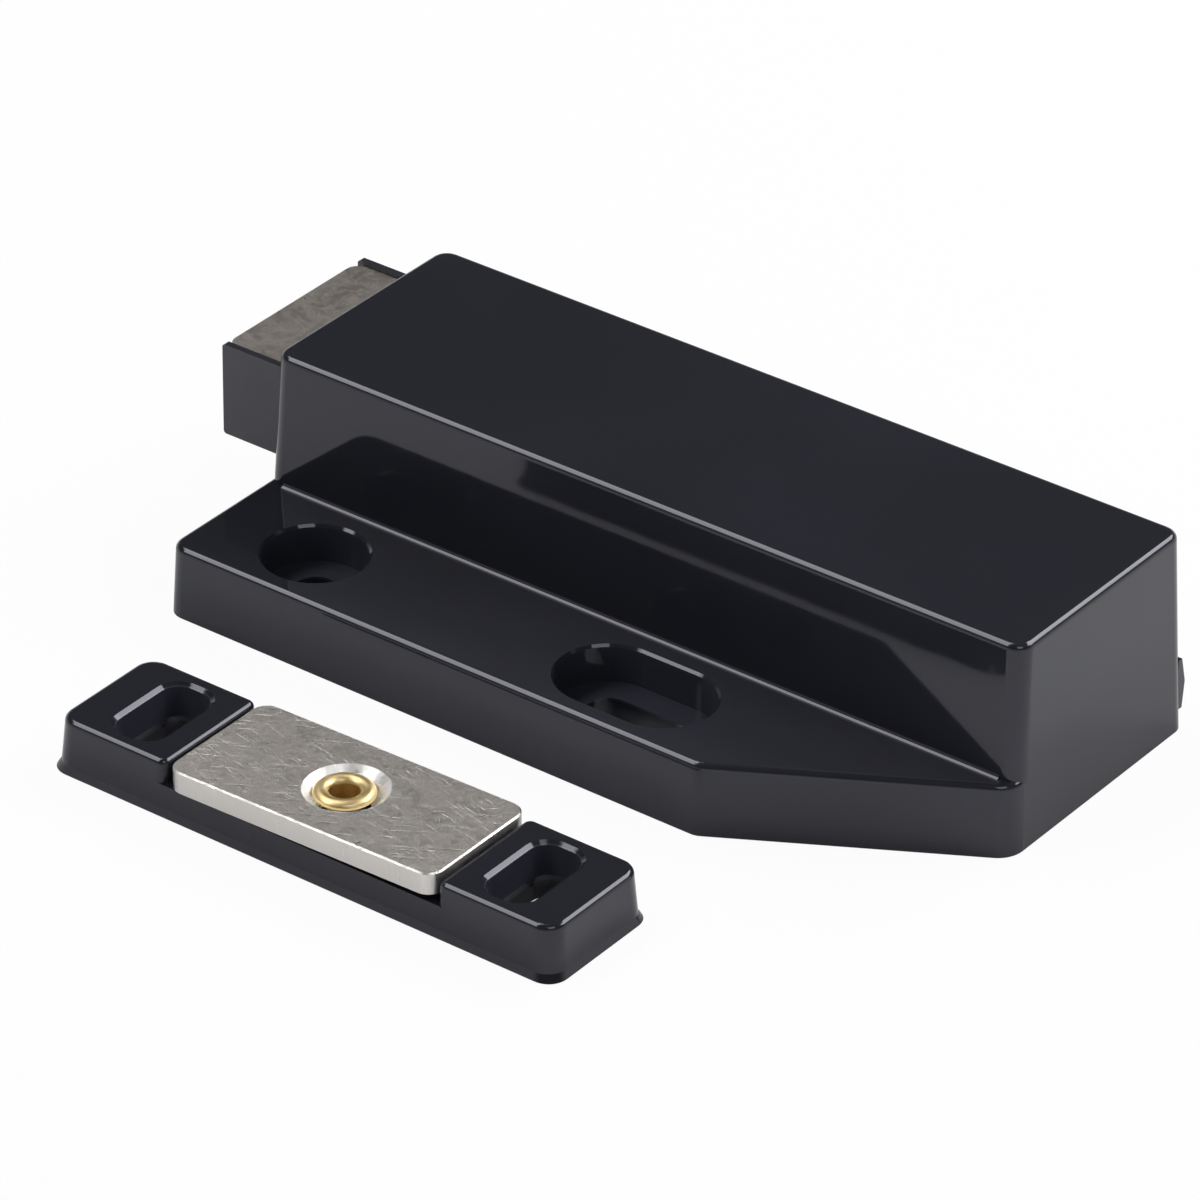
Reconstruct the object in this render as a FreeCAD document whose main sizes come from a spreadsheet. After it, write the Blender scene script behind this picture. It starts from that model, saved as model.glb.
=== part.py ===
"""Magnetic touch latch with its strike: a moulded housing with a side mounting flange,
a sprung plunger that carries a magnet between two pole plates, and a separate strike
with a self-aligning steel plate. All sizes are in millimetres and degrees.

The origin is the centre of the housing's mounting face. X runs along the housing,
with the plunger pointing to -X, Y runs across it from the flange to the back, Z is up.
"""
import FreeCAD, Part
import math
import os
import re
import Sketcher
from FreeCAD import Placement, Rotation, Vector

doc = FreeCAD.newDocument("MagneticTouchLatch")

# Driving sizes. Each line is one cell of the sheet: alias, value, meaning.
SIZES = [
    ("housing_length", 90.0, "mounting face, along X"),
    ("housing_width", 44.5, "mounting face, flange front to back"),
    ("housing_height", 22.0, "mounting face to roof"),
    ("flange_depth", 15.3, "flange front to the box's front wall"),
    ("flange_height", 7.7, "top of the mounting flange"),
    ("flange_straight", 64.3, "length of the flange's full-depth front edge"),
    ("end_draft", 2.0, "moulding draft of the end faces"),
    ("front_draft", 2.6, "draft of the box's front wall"),
    ("back_draft", 3.1, "draft of the back wall"),
    ("flange_draft", 2.1, "draft of the flange's front"),
    ("box_corner", 1.8, "plan radius of the box's corners"),
    ("flange_corner", 2.0, "plan radius of the flange's square corner"),
    ("flange_nose", 3.0, "plan radius where the slanted flange edge meets the end"),
    ("nose_step", 0.3, "slanted edge's end in front of the box's front wall"),
    ("edge_round", 0.65, "rounding of the upper edges"),
    ("foot_round", 0.5, "fillet between flange and box"),
    ("end_wall", 2.4, "thickness of the end walls"),
    ("side_wall", 3.2, "box's side walls beside the cavity, at the mounting face"),
    ("screw_row", 7.8, "flange front to the fixing holes"),
    ("hole_place", 12.65, "plunger end to the round fixing hole"),
    ("slot_place", 51.5, "plunger end to the middle of the slotted hole"),
    ("slot_travel", 6.3, "adjustment given by the slotted hole"),
    ("screw_hole", 4.6, "bore for a 4 mm screw"),
    ("counterbore", 10.6, "width of the screw head recess"),
    ("counterbore_floor", 3.6, "height of the recess floor over the mounting face"),
    ("rim_chamfer", 0.25, "broken edge of the recess rims"),
    ("core_skin", 2.2, "skin over the cored underside of the flange"),
    ("core_wall", 2.2, "front wall of the cored pockets"),
    ("core_back", 1.8, "cored pockets to the cavity"),
    ("core_rib", 1.6, "ribs between the cored pockets"),
    ("core_length", 5.8, "length of one cored pocket"),
    ("core_count", 3, "cored pockets between the two fixing holes"),
    ("core_draft", 1.0, "draft of the cored pockets"),
    ("carrier_height", 10.2, "plunger, bottom to top of its side walls"),
    ("carrier_length", 53.6, "plunger, front to rear end"),
    ("carrier_bottom", 8.95, "height of the plunger's underside"),
    ("carrier_offset", 0.3, "plunger's middle plane in front of the box's middle"),
    ("carrier_reach", 7.6, "plunger outside the housing when latched"),
    ("slide_gap", 0.3, "gap between plunger and housing, each side"),
    ("travel_out", 12.0, "ejection stroke from the latched position"),
    ("travel_in", 3.0, "extra push that releases the latch"),
    ("stop_gap", 0.15, "gap left at the end stops"),
    ("jaw_wall", 0.75, "side walls beside the pole plates"),
    ("jaw_depth", 17.8, "depth of the magnet pocket"),
    ("jaw_round", 0.35, "rounding of the side walls' front ends"),
    ("block_length", 9.2, "solid block behind the magnet pocket"),
    ("tail_wall", 1.6, "side walls of the plunger's tail"),
    ("tail_floor", 2.4, "floor of the plunger's tail"),
    ("pole_thickness", 2.2, "steel pole plates"),
    ("pole_length", 20.0, "pole plates, front to rear"),
    ("pole_recess", 0.4, "pole faces below the side walls' edges"),
    ("pole_proud", 0.18, "pole plates in front of the side walls"),
    ("pole_corner", 1.5, "plan radius of the pole plates' front corners"),
    ("pole_gap", 0.05, "gap of the pole plates in the plunger"),
    ("magnet_set_back", 0.4, "magnet behind the side walls' front ends"),
    ("cam_depth", 1.6, "depth of the heart-shaped track"),
    ("cam_place", 38.0, "plunger front to the latched wire tip"),
    ("cam_width", 1.9, "width of the track"),
    ("heart_width", 6.0, "heart-shaped island, across"),
    ("heart_length", 8.6, "heart-shaped island, notch to tail"),
    ("heart_lobe", 1.7, "how far the island's lobes reach past its notch"),
    ("cam_lane", 2.4, "track beside the island's shoulders"),
    ("cam_entry", 2.7, "width of the track's entry behind the island"),
    ("cam_entry_length", 2.3, "length of that entry"),
    ("cam_corner", 0.4, "rounding of the track's corners"),
    ("wire", 1.2, "thickness of the latch wire"),
    ("wire_bend", 1.5, "bend radius of the latch wire"),
    ("wire_side_gap", 0.08, "wire tip clear of the notch it rests in"),
    ("wire_tip_gap", 0.25, "wire tip below the track's ceiling"),
    ("wire_drop", 1.35, "arm of the wire below the plunger"),
    ("wire_length", 39.6, "latch wire, tip to pivot"),
    ("pivot_boss", 5.2, "boss that holds the wire's pivot leg"),
    ("pivot_height", 3.0, "height of that boss over the cover"),
    ("pivot_leg", 5.3, "length of the wire's leg below its arm"),
    ("pivot_gap", 0.05, "radial gap of the wire in its boss"),
    ("spring_outside", 7.0, "ejector spring, outer diameter"),
    ("spring_wire", 0.7, "ejector spring, wire"),
    ("spring_turns", 12, "ejector spring, turns"),
    ("spring_place", 39.2, "ejector spring, length in the latched position"),
    ("spring_gap", 0.05, "gap between the spring's ends and their seats"),
    ("spigot_length", 4.0, "spigots that centre the spring"),
    ("spigot_play", 0.4, "radial play of the spring on its spigots"),
    ("spring_height", 4.25, "spring axis over the tail's floor"),
    ("seat_wall", 2.0, "thickness of the housing's spring seat"),
    ("cover_thickness", 1.5, "base cover"),
    ("cover_lip", 1.2, "width of the ledge the cover lies against"),
    ("cover_gap", 0.1, "gap round the cover"),
    ("rail_width", 1.4, "rails under the plunger's side walls"),
    ("rail_length", 53.0, "length of the rails"),
    ("rail_inset", 0.2, "rails inside the plunger's flanks"),
    ("lug_width", 2.0, "stop lugs under the plunger, across"),
    ("lug_length", 3.0, "stop lugs, along X"),
    ("lug_height", 2.0, "stop lugs below the plunger"),
    ("post_length", 2.0, "stop posts on the cover, along X"),
    ("gate_place", 0.6, "torn moulding gate at the back corner, from the end"),
    ("gate_width", 1.4, "moulding gate, along X"),
    ("gate_low", 1.7, "moulding gate, lower end"),
    ("gate_peak", 4.6, "moulding gate, height of its torn tip"),
    ("gate_high", 7.4, "moulding gate, upper end"),
    ("gate_proud", 0.3, "moulding gate, tip behind the mounting face's edge"),
    ("strike_length", 60.1, "strike base, along X"),
    ("strike_width", 15.15, "strike base, across"),
    ("strike_height", 5.6, "strike base, ears"),
    ("strike_draft", 4.0, "draft of the strike base"),
    ("strike_corner", 2.4, "plan radius of the strike base"),
    ("strike_foot", 0.8, "height of the flared foot edge"),
    ("strike_flare", 0.3, "how far the foot edge flares out"),
    ("strike_flare_draft", 25.0, "slope of the flared foot edge"),
    ("strike_across", -5.95, "strike's middle from the housing's middle, along X"),
    ("strike_apart", -42.87, "strike's middle from the housing's middle, along Y"),
    ("ear_length", 13.9, "ears of the strike base"),
    ("ear_corner", 0.85, "plan radius of the ears' inner corners"),
    ("ear_round", 0.6, "rounding of the ears' upper edges"),
    ("ledge_height", 3.2, "ledge between the ears"),
    ("ear_slot_place", 8.05, "strike's ends to the middle of its screw slots"),
    ("ear_slot_width", 4.3, "screw slots in the ears, along X"),
    ("ear_slot_length", 9.0, "screw slots in the ears, along Y"),
    ("ear_slot_corner", 1.9, "plan radius of the screw slots"),
    ("ear_dish", 0.65, "how far the head recess is wider than the slot"),
    ("ear_dish_depth", 3.2, "depth of the head recess"),
    ("ear_dish_corner", 2.2, "plan radius of the head recess"),
    ("ear_dish_draft", 12.0, "slope of the head recess walls"),
    ("ear_dish_edge", 0.35, "broken edge of the head recess rims"),
    ("plate_length", 31.6, "steel plate, along X"),
    ("plate_width", 14.6, "steel plate, across"),
    ("plate_thickness", 2.3, "steel plate"),
    ("plate_corner", 1.7, "plan radius of the steel plate"),
    ("plate_edge", 0.15, "broken edge of the steel plate"),
    ("plate_shift", 0.15, "steel plate beside the base's middle, within its play"),
    ("plate_rock", 1.2, "tilt of the steel plate at rest, to either side"),
    ("rock_gap", 0.03, "steel plate over the rib it rocks on"),
    ("end_gap", 0.06, "steel plate's low end over the ledge"),
    ("rib_width", 1.0, "rib the steel plate rocks on"),
    ("rib_inset", 1.0, "rib's ends inside the steel plate's edges"),
    ("countersink", 8.4, "countersink in the steel plate"),
    ("plate_hole", 4.6, "hole in the steel plate"),
    ("eyelet_place", -0.1, "eyelet beside the base's middle, along X"),
    ("eyelet_shank", 3.9, "brass eyelet, shank"),
    ("eyelet_bore", 2.9, "brass eyelet, bore"),
    ("eyelet_flange", 6.1, "brass eyelet, rolled flange"),
    ("eyelet_crest", 4.4, "brass eyelet, crest of the rolled flange, across"),
    ("eyelet_rim_top", 0.4, "brass eyelet, rim of the flange below its crest"),
    ("eyelet_rim_foot", 0.65, "brass eyelet, underside of the rim below the crest"),
    ("eyelet_throat", 1.15, "brass eyelet, flange's root below the crest"),
    ("eyelet_sunk", 0.02, "eyelet's crest below the steel plate's face"),
    ("eyelet_dome", 0.8, "rounding of the crest"),
    ("eyelet_tail", 5.8, "brass eyelet, rolled tail under the strike base"),
    ("eyelet_mouth", 0.4, "rounding of the eyelet's mouth"),
    ("eyelet_tail_edge", 0.2, "broken edges of the eyelet's tail"),
    ("tail_recess", 7.0, "recess for the eyelet's tail"),
    ("tail_recess_depth", 1.3, "depth of that recess"),
    ("tail_gap", 0.3, "eyelet's tail above the strike's mounting face"),
]
FIRST_ROW = 1
sheet = doc.addObject("Spreadsheet::Sheet", "Sizes")
for row, (alias, number, meaning) in enumerate(SIZES, FIRST_ROW):
    sheet.set("A%d" % row, str(number))
    sheet.setAlias("A%d" % row, alias)
    sheet.set("B%d" % row, meaning)
doc.recompute()
ALIASES = {alias for alias, number, meaning in SIZES}

XY, XZ, YZ = "XY_Plane", "XZ_Plane", "YZ_Plane"

# A cut starts or ends PAST the face it opens, and a pad starts INSIDE what it joins. The
# plunger slides along the CENTRE_LINE, measured from the flange's front, and is as wide as
# the box's side walls leave it. Its stop lugs run inside the cover's rails.
DERIVED = {"PAST": "1", "INSIDE": "0.5",
           "CENTRE_LINE": "(flange_depth + housing_width) / 2 - carrier_offset",
           "CARRIER_WIDTH": "housing_width - flange_depth - 2 * side_wall - 2 * slide_gap",
           "LUG_SPACING": "CARRIER_WIDTH / 2 - rail_inset - rail_width - slide_gap"
                          " - lug_width / 2"}

# Lengths closer than this count as equal when edges are picked, and a face looks along an
# axis where that part of its normal is over FACING.
CLOSE = 0.001
FACING = 0.8


def bound(text):
    """Turn a formula in size names into an expression on the sheet's cells."""
    def cell(match):
        word = match.group(0)
        if word in DERIVED:
            return "(" + bound(DERIVED[word]) + ")"
        return "Sizes." + word if word in ALIASES else word
    return re.sub(r"[A-Za-z_]+", cell, str(text))


def value(text):
    """The present number of a formula in size names."""
    return float(sheet.evalExpression(bound(text)))


def new_body(label, place, turn=None):
    """A sub-part: place is three formulas, turn is an axis and a formula in degrees."""
    body = doc.addObject("PartDesign::Body", label)
    body.Label = label
    rotation = Rotation()
    if turn:
        rotation = Rotation(turn[0], value(turn[1]))
    body.Placement = Placement(Vector(*[value(item) for item in place]), rotation)
    for axis, item in zip("xyz", place):
        body.setExpression("Placement.Base." + axis, bound(item))
    return body


def new_sketch(body, name, role=XY, offset="0"):
    sketch = body.newObject("Sketcher::SketchObject", name)
    plane = [item for item in body.Origin.OriginFeatures if item.Role == role][0]
    sketch.AttachmentSupport = [(plane, "")]
    sketch.MapMode = "FlatFace"
    sketch.setExpression("AttachmentOffset.Base.z", bound(offset))
    return sketch


def constrain(sketch, kind, *items, formula=None):
    """Add a constraint, with its size bound to the sheet where a formula is given."""
    if formula is None:
        sketch.addConstraint(Sketcher.Constraint(kind, *items))
        return
    index = sketch.addConstraint(Sketcher.Constraint(kind, *items, value(formula)))
    sketch.setExpression("Constraints[%d]" % index, bound(formula))


def pin_point(sketch, geometry, position, x, y):
    constrain(sketch, "DistanceX", -1, 1, geometry, position, formula=x)
    constrain(sketch, "DistanceY", -1, 1, geometry, position, formula=y)


def circle(sketch, x, y, diameter):
    centre = Vector(value(x), value(y), 0)
    ring = sketch.addGeometry(Part.Circle(centre, Vector(0, 0, 1), value(diameter) / 2))
    pin_point(sketch, ring, 3, x, y)
    constrain(sketch, "Radius", ring, formula="(%s) / 2" % diameter)


def outline(sketch, corners):
    """A closed outline. Each corner is (x, y, radius) in formulas, radius 0 is sharp."""
    points = [Vector(value(x), value(y), 0) for x, y, radius in corners]
    radii = [value(radius) for x, y, radius in corners]
    count = len(corners)
    starts, ends, rounds = [], [], []
    for i, point in enumerate(points):
        back = (points[i - 1] - point).normalize()
        ahead = (points[(i + 1) % count] - point).normalize()
        half = back.getAngle(ahead) / 2
        reach = radii[i] / math.tan(half)
        ends.append(point + back * reach)
        starts.append(point + ahead * reach)
        if radii[i] > 0:
            middle = (back + ahead).normalize()
            centre = point + middle * (radii[i] / math.sin(half))
            rounds.append(Part.Arc(ends[i], centre - middle * radii[i], starts[i]))
        else:
            rounds.append(None)
    lines = []
    for i in range(count):
        segment = Part.LineSegment(starts[i], ends[(i + 1) % count])
        lines.append(sketch.addGeometry(segment))
    for i, (x, y, radius) in enumerate(corners):
        before, after = lines[i - 1], lines[i]
        if rounds[i] is None:
            constrain(sketch, "Coincident", before, 2, after, 1)
            pin_point(sketch, after, 1, x, y)
            continue
        arc = sketch.addGeometry(rounds[i])
        first = sketch.getPoint(arc, 1).distanceToPoint(ends[i])
        second = sketch.getPoint(arc, 2).distanceToPoint(ends[i])
        near, far = (1, 2) if first < second else (2, 1)
        corner = sketch.addGeometry(Part.Point(points[i]), True)
        pin_point(sketch, corner, 1, x, y)
        constrain(sketch, "Tangent", before, 2, arc, near)
        constrain(sketch, "Tangent", arc, far, after, 1)
        constrain(sketch, "PointOnObject", corner, 1, before)
        constrain(sketch, "PointOnObject", corner, 1, after)
        constrain(sketch, "Radius", arc, formula=radius)


def mirrored(points, radius):
    """Corners of an outline that is the same on both sides of X, from its one side."""
    below = [(x, "-(%s)" % y, radius) for x, y in points]
    above = [(x, y, radius) for x, y in reversed(points)]
    return below + above


def rectangle(sketch, low_x, low_y, high_x, high_y, radius="0"):
    outline(sketch, [(low_x, low_y, radius), (high_x, low_y, radius),
                     (high_x, high_y, radius), (low_x, high_y, radius)])


def slot(sketch, x, y, travel, width):
    """A slot along X: two half circles, travel apart, joined by straight sides."""
    middle, height, reach, radius = value(x), value(y), value(travel) / 2, value(width) / 2
    arcs = []
    for side in (-1, 1):
        tips = [Vector(middle + side * reach, height - side * radius, 0),
                Vector(middle + side * (reach + radius), height, 0),
                Vector(middle + side * reach, height + side * radius, 0)]
        arcs.append(sketch.addGeometry(Part.Arc(*tips)))
    left, right = arcs
    low = sketch.addGeometry(Part.LineSegment(
        Vector(middle - reach, height - radius, 0), Vector(middle + reach, height - radius, 0)))
    high = sketch.addGeometry(Part.LineSegment(
        Vector(middle + reach, height + radius, 0), Vector(middle - reach, height + radius, 0)))
    constrain(sketch, "Tangent", low, 1, left, 2)
    constrain(sketch, "Tangent", low, 2, right, 1)
    constrain(sketch, "Tangent", high, 1, right, 2)
    constrain(sketch, "Tangent", high, 2, left, 1)
    constrain(sketch, "Radius", right, formula="(%s) / 2" % width)
    pin_point(sketch, left, 3, "(%s) - (%s) / 2" % (x, travel), y)
    pin_point(sketch, right, 3, "(%s) + (%s) / 2" % (x, travel), y)


def settle(feature):
    """Recompute, and stop where the new feature failed."""
    doc.recompute()
    if "Invalid" in feature.State or feature.Shape.isNull():
        raise RuntimeError(feature.Name + " fails: " + feature.getStatusString())
    return feature


def pad(body, name, sketch, length, taper=None, reverse=False):
    feature = body.newObject("PartDesign::Pad", name)
    feature.Profile = sketch
    feature.setExpression("Length", bound(length))
    feature.Reversed = reverse
    if taper:
        feature.setExpression("TaperAngle", bound(taper))
    return settle(feature)


def pocket(body, name, sketch, length, taper=None, reverse=False):
    """Cut against the sketch's normal, or along it if reversed, and prove that it cut."""
    before = body.Shape.Volume
    feature = body.newObject("PartDesign::Pocket", name)
    feature.Profile = sketch
    feature.setExpression("Length", bound(length))
    feature.Reversed = reverse
    if taper:
        feature.setExpression("TaperAngle", bound(taper))
    settle(feature)
    if body.Shape.Volume >= before:
        raise RuntimeError(name + " cuts nothing")
    return feature


def draft(body, name, angle, test):
    """Lean the side faces that pass the test inwards, from their foot at the body's base."""
    base = body.Tip
    names = ["Face%d" % i for i, face in enumerate(base.Shape.Faces, 1)
             if test(face.normalAt(0, 0))]
    feature = body.newObject("PartDesign::Draft", name)
    feature.Base = (base, names)
    feature.NeutralPlane = ([item for item in body.Origin.OriginFeatures
                             if item.Role == XY][0], [""])
    feature.setExpression("Angle", bound(angle))
    return settle(feature)


def join(body, name, piece):
    """Fuse a form that has its own drafts and rounds into the body that it belongs to."""
    feature = body.newObject("PartDesign::Boolean", name)
    feature.Type = "Fuse"
    feature.setObjects([piece])
    return settle(feature)


def dress(body, kind, name, property_name, size, test):
    """Fillet or chamfer the edges of the body's last feature that pass the test."""
    base = body.Tip
    names = ["Edge%d" % i for i, edge in enumerate(base.Shape.Edges, 1) if test(edge)]
    if not names:
        raise RuntimeError(name + " finds no edges")
    feature = body.newObject("PartDesign::" + kind, name)
    feature.Base = (base, names)
    feature.setExpression(property_name, bound(size))
    return settle(feature)


def level(edge, height):
    """True where the whole edge lies at one height."""
    box = edge.BoundBox
    return abs(box.ZMin - height) < CLOSE and abs(box.ZMax - height) < CLOSE


def upright(edge, height):
    """True for a corner edge that climbs from a foot to the height."""
    box = edge.BoundBox
    return abs(box.ZMax - height) < CLOSE and box.ZLength > box.XLength + box.YLength


# Mounting flange: square at the plunger end and slanted at the other.
HOUSING_PLACE = ("-housing_length / 2", "-housing_width / 2", "0")
FLANGE_ROOT = "(flange_depth + box_corner + flange_nose)"
flange = new_body("flange", ("0", "0", "0"))
flange_plan = new_sketch(flange, "flange_plan")
outline(flange_plan, [
    ("0", "0", "0"), ("flange_straight", "0", "0"),
    ("housing_length", "flange_depth - nose_step", "0"),
    ("housing_length", FLANGE_ROOT, "0"), ("0", FLANGE_ROOT, "0")])
pad(flange, "flange_block", flange_plan, "flange_height")
draft(flange, "flange_front_draft", "flange_draft", lambda normal: normal.y < -FACING)
draft(flange, "flange_end_draft", "end_draft", lambda normal: abs(normal.x) > FACING)
dress(flange, "Fillet", "flange_corners", "Radius", "flange_corner",
      lambda edge: upright(edge, value("flange_height"))
      and edge.BoundBox.YMax < value("flange_depth / 2"))
dress(flange, "Fillet", "flange_nose_corner", "Radius", "flange_nose",
      lambda edge: upright(edge, value("flange_height"))
      and value("flange_depth / 2") < edge.BoundBox.YMin < value("flange_depth"))
dress(flange, "Fillet", "flange_rounds", "Radius", "edge_round",
      lambda edge: level(edge, value("flange_height"))
      and edge.BoundBox.YMin < value(FLANGE_ROOT) - CLOSE)

# Housing. Its body starts at the corner of the mounting face, plunger end, flange front.
housing = new_body("housing", HOUSING_PLACE)
box_plan = new_sketch(housing, "box_plan")
rectangle(box_plan, "0", "flange_depth", "housing_length", "housing_width")
pad(housing, "box", box_plan, "housing_height")
draft(housing, "box_front_draft", "front_draft", lambda normal: normal.y < -FACING)
draft(housing, "box_back_draft", "back_draft", lambda normal: normal.y > FACING)
draft(housing, "box_end_draft", "end_draft", lambda normal: abs(normal.x) > FACING)
dress(housing, "Fillet", "box_corners", "Radius", "box_corner",
      lambda edge: upright(edge, value("housing_height")))
dress(housing, "Fillet", "roof_round", "Radius", "edge_round",
      lambda edge: level(edge, value("housing_height")))
join(housing, "housing_shell", flange)

# The fillet where the box's front wall stands on the flange is a strip along X.
FOOT = "(flange_depth + flange_height * tan(front_draft))"
LEG = "(foot_round * (1 + tan(front_draft)))"
foot_section = new_sketch(housing, "foot_section", YZ, "box_corner + INSIDE")
outline(foot_section, [
    (FOOT + " - " + LEG, "flange_height - INSIDE", "0"),
    (FOOT + " + INSIDE", "flange_height - INSIDE", "0"),
    (FOOT + " + INSIDE", "flange_height + " + LEG, "0"),
    (FOOT + " + %s * tan(front_draft)" % LEG, "flange_height + " + LEG, "0"),
    (FOOT, "flange_height", "foot_round"),
    (FOOT + " - " + LEG, "flange_height", "0")])
pad(housing, "foot_fillet", foot_section, "housing_length - 2 * (box_corner + INSIDE)")

head_recess = new_sketch(housing, "head_recess", offset="counterbore_floor")
circle(head_recess, "hole_place", "screw_row", "counterbore")
slot(head_recess, "slot_place", "screw_row", "slot_travel", "counterbore")
pocket(housing, "head_recesses", head_recess, "flange_height", reverse=True)
screw_holes = new_sketch(housing, "screw_hole_plan", offset="-PAST")
circle(screw_holes, "hole_place", "screw_row", "screw_hole")
slot(screw_holes, "slot_place", "screw_row", "slot_travel", "screw_hole")
pocket(housing, "screw_holes", screw_holes, "flange_height", reverse=True)

# Cavity for the mechanism, open to the mounting face, and the plunger's mouth.
CAVITY_FRONT = "CENTRE_LINE - CARRIER_WIDTH / 2 - slide_gap"
CAVITY_BACK = "CENTRE_LINE + CARRIER_WIDTH / 2 + slide_gap"
CAVITY_ROOF = "carrier_bottom + carrier_height + slide_gap"
cavity_plan = new_sketch(housing, "cavity_plan")
rectangle(cavity_plan, "end_wall", CAVITY_FRONT, "housing_length - end_wall", CAVITY_BACK)
pocket(housing, "cavity", cavity_plan, CAVITY_ROOF, reverse=True)
mouth_plan = new_sketch(housing, "mouth_plan", YZ, "-PAST")
rectangle(mouth_plan, CAVITY_FRONT, "carrier_bottom - slide_gap", CAVITY_BACK, CAVITY_ROOF)
pocket(housing, "mouth", mouth_plan, "end_wall + 2 * PAST", reverse=True)
rebate_plan = new_sketch(housing, "rebate_plan")
rectangle(rebate_plan, "end_wall - cover_lip", CAVITY_FRONT + " - cover_lip",
          "housing_length - end_wall + cover_lip", CAVITY_BACK + " + cover_lip")
pocket(housing, "cover_rebate", rebate_plan, "cover_thickness", reverse=True)

# Cored underside of the flange: pockets between the two bosses, parted by ribs.
CORE_PITCH = "(core_length + core_rib)"
core_plan = new_sketch(housing, "core_plan")
CORE_FIRST = ("(hole_place + slot_place - slot_travel / 2) / 2 - core_count * core_length / 2"
              " - (core_count - 1) * core_rib / 2")
rectangle(core_plan, CORE_FIRST, "core_wall", CORE_FIRST + " + core_length",
          CAVITY_FRONT + " - cover_lip - core_back")
core = pocket(housing, "core_pocket", core_plan, "flange_height - core_skin",
              taper="-core_draft", reverse=True)
cores = housing.newObject("PartDesign::LinearPattern", "core_pockets")
cores.Originals = [core]
cores.Direction = (core_plan, ["H_Axis"])
cores.setExpression("Length", bound(CORE_PITCH + " * (core_count - 1)"))
cores.setExpression("Occurrences", bound("core_count"))
housing.Tip = cores
doc.recompute()

# Spring seat: a cross wall with a spigot, hung from the roof behind the plunger.
SEAT_FACE = "jaw_depth + block_length - carrier_reach + spring_place"
seat_plan = new_sketch(housing, "seat_plan", YZ, SEAT_FACE)
rectangle(seat_plan, CAVITY_FRONT + " - INSIDE", "carrier_bottom - slide_gap",
          CAVITY_BACK + " + INSIDE", CAVITY_ROOF + " + INSIDE")
pad(housing, "spring_seat", seat_plan, "seat_wall")
SPRING_AXIS = "carrier_bottom + tail_floor + spring_height"
SPIGOT = "spring_outside - 2 * spring_wire - 2 * spigot_play"
spigot_plan = new_sketch(housing, "seat_spigot_plan", YZ, SEAT_FACE)
circle(spigot_plan, "CENTRE_LINE", SPRING_AXIS, SPIGOT)
pad(housing, "seat_spigot", spigot_plan, "spigot_length", reverse=True)

# Torn gate: the little ridge that moulding leaves on the back corner.
gate_section = new_sketch(housing, "gate_section", YZ,
                          "housing_length - gate_place - gate_width")
outline(gate_section, [
    ("housing_width - PAST", "gate_low", "0"),
    ("housing_width", "gate_low", "0"),
    ("housing_width + gate_proud", "gate_peak", "0"),
    ("housing_width - gate_high * tan(back_draft)", "gate_high", "0"),
    ("housing_width - PAST", "gate_high", "0")])
pad(housing, "gate", gate_section, "gate_width")


def recess_rim(edge):
    """The rims of the two screw head recesses on the flange."""
    box = edge.BoundBox
    reach = value("counterbore / 2 + rim_chamfer")
    return (level(edge, value("flange_height")) and box.XMin > value("flange_corner")
            and box.YMin > value("screw_row") - reach
            and box.YMax < value("screw_row") + reach)


dress(housing, "Chamfer", "rim_edges", "Size", "rim_chamfer", recess_rim)

# Base cover: a plate in the rebate with rails, stop posts and the wire's pivot boss.
cover = new_body("base_cover", HOUSING_PLACE)
cover_plan = new_sketch(cover, "cover_plan")
rectangle(cover_plan, "end_wall - cover_lip + cover_gap",
          CAVITY_FRONT + " - cover_lip + cover_gap",
          "housing_length - end_wall + cover_lip - cover_gap",
          CAVITY_BACK + " + cover_lip - cover_gap")
pad(cover, "plate", cover_plan, "cover_thickness")
RAIL_TOP = "carrier_bottom - slide_gap"
rail_plan = new_sketch(cover, "rail_plan", offset="cover_thickness")
for side in ("-", "+"):
    outer = "CENTRE_LINE %s (CARRIER_WIDTH / 2 - rail_inset)" % side
    inner = "CENTRE_LINE %s (CARRIER_WIDTH / 2 - rail_inset - rail_width)" % side
    low, high = (outer, inner) if side == "-" else (inner, outer)
    rectangle(rail_plan, "end_wall + slide_gap", low,
              "end_wall + slide_gap + rail_length", high)
pad(cover, "rails", rail_plan, RAIL_TOP + " - cover_thickness")
LUG_FRONT = "(carrier_length - lug_length - carrier_reach)"
post_plan = new_sketch(cover, "post_plan", offset="cover_thickness")
for side in ("-", "+"):
    low = "CENTRE_LINE %s LUG_SPACING - lug_width / 2" % side
    high = "CENTRE_LINE %s LUG_SPACING + lug_width / 2" % side
    rectangle(post_plan, LUG_FRONT + " - travel_out - stop_gap - post_length", low,
              LUG_FRONT + " - travel_out - stop_gap", high)
    rectangle(post_plan, LUG_FRONT + " + lug_length + travel_in + stop_gap", low,
              LUG_FRONT + " + lug_length + travel_in + stop_gap + post_length", high)
pad(cover, "stop_posts", post_plan, RAIL_TOP + " - cover_thickness")
WIRE_TIP = "(cam_place - carrier_reach)"
boss_plan = new_sketch(cover, "boss_plan", offset="cover_thickness")
circle(boss_plan, WIRE_TIP + " + wire_length", "CENTRE_LINE", "pivot_boss")
pad(cover, "pivot_boss_pad", boss_plan, "pivot_height")
pivot_plan = new_sketch(cover, "pivot_plan", offset="cover_thickness + pivot_height")
circle(pivot_plan, WIRE_TIP + " + wire_length", "CENTRE_LINE", "wire + 2 * pivot_gap")
WIRE_ARM = "(carrier_bottom - wire_drop)"
pocket(cover, "pivot_bore", pivot_plan,
       "cover_thickness + pivot_height - %s + pivot_leg + pivot_gap" % WIRE_ARM)

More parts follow.
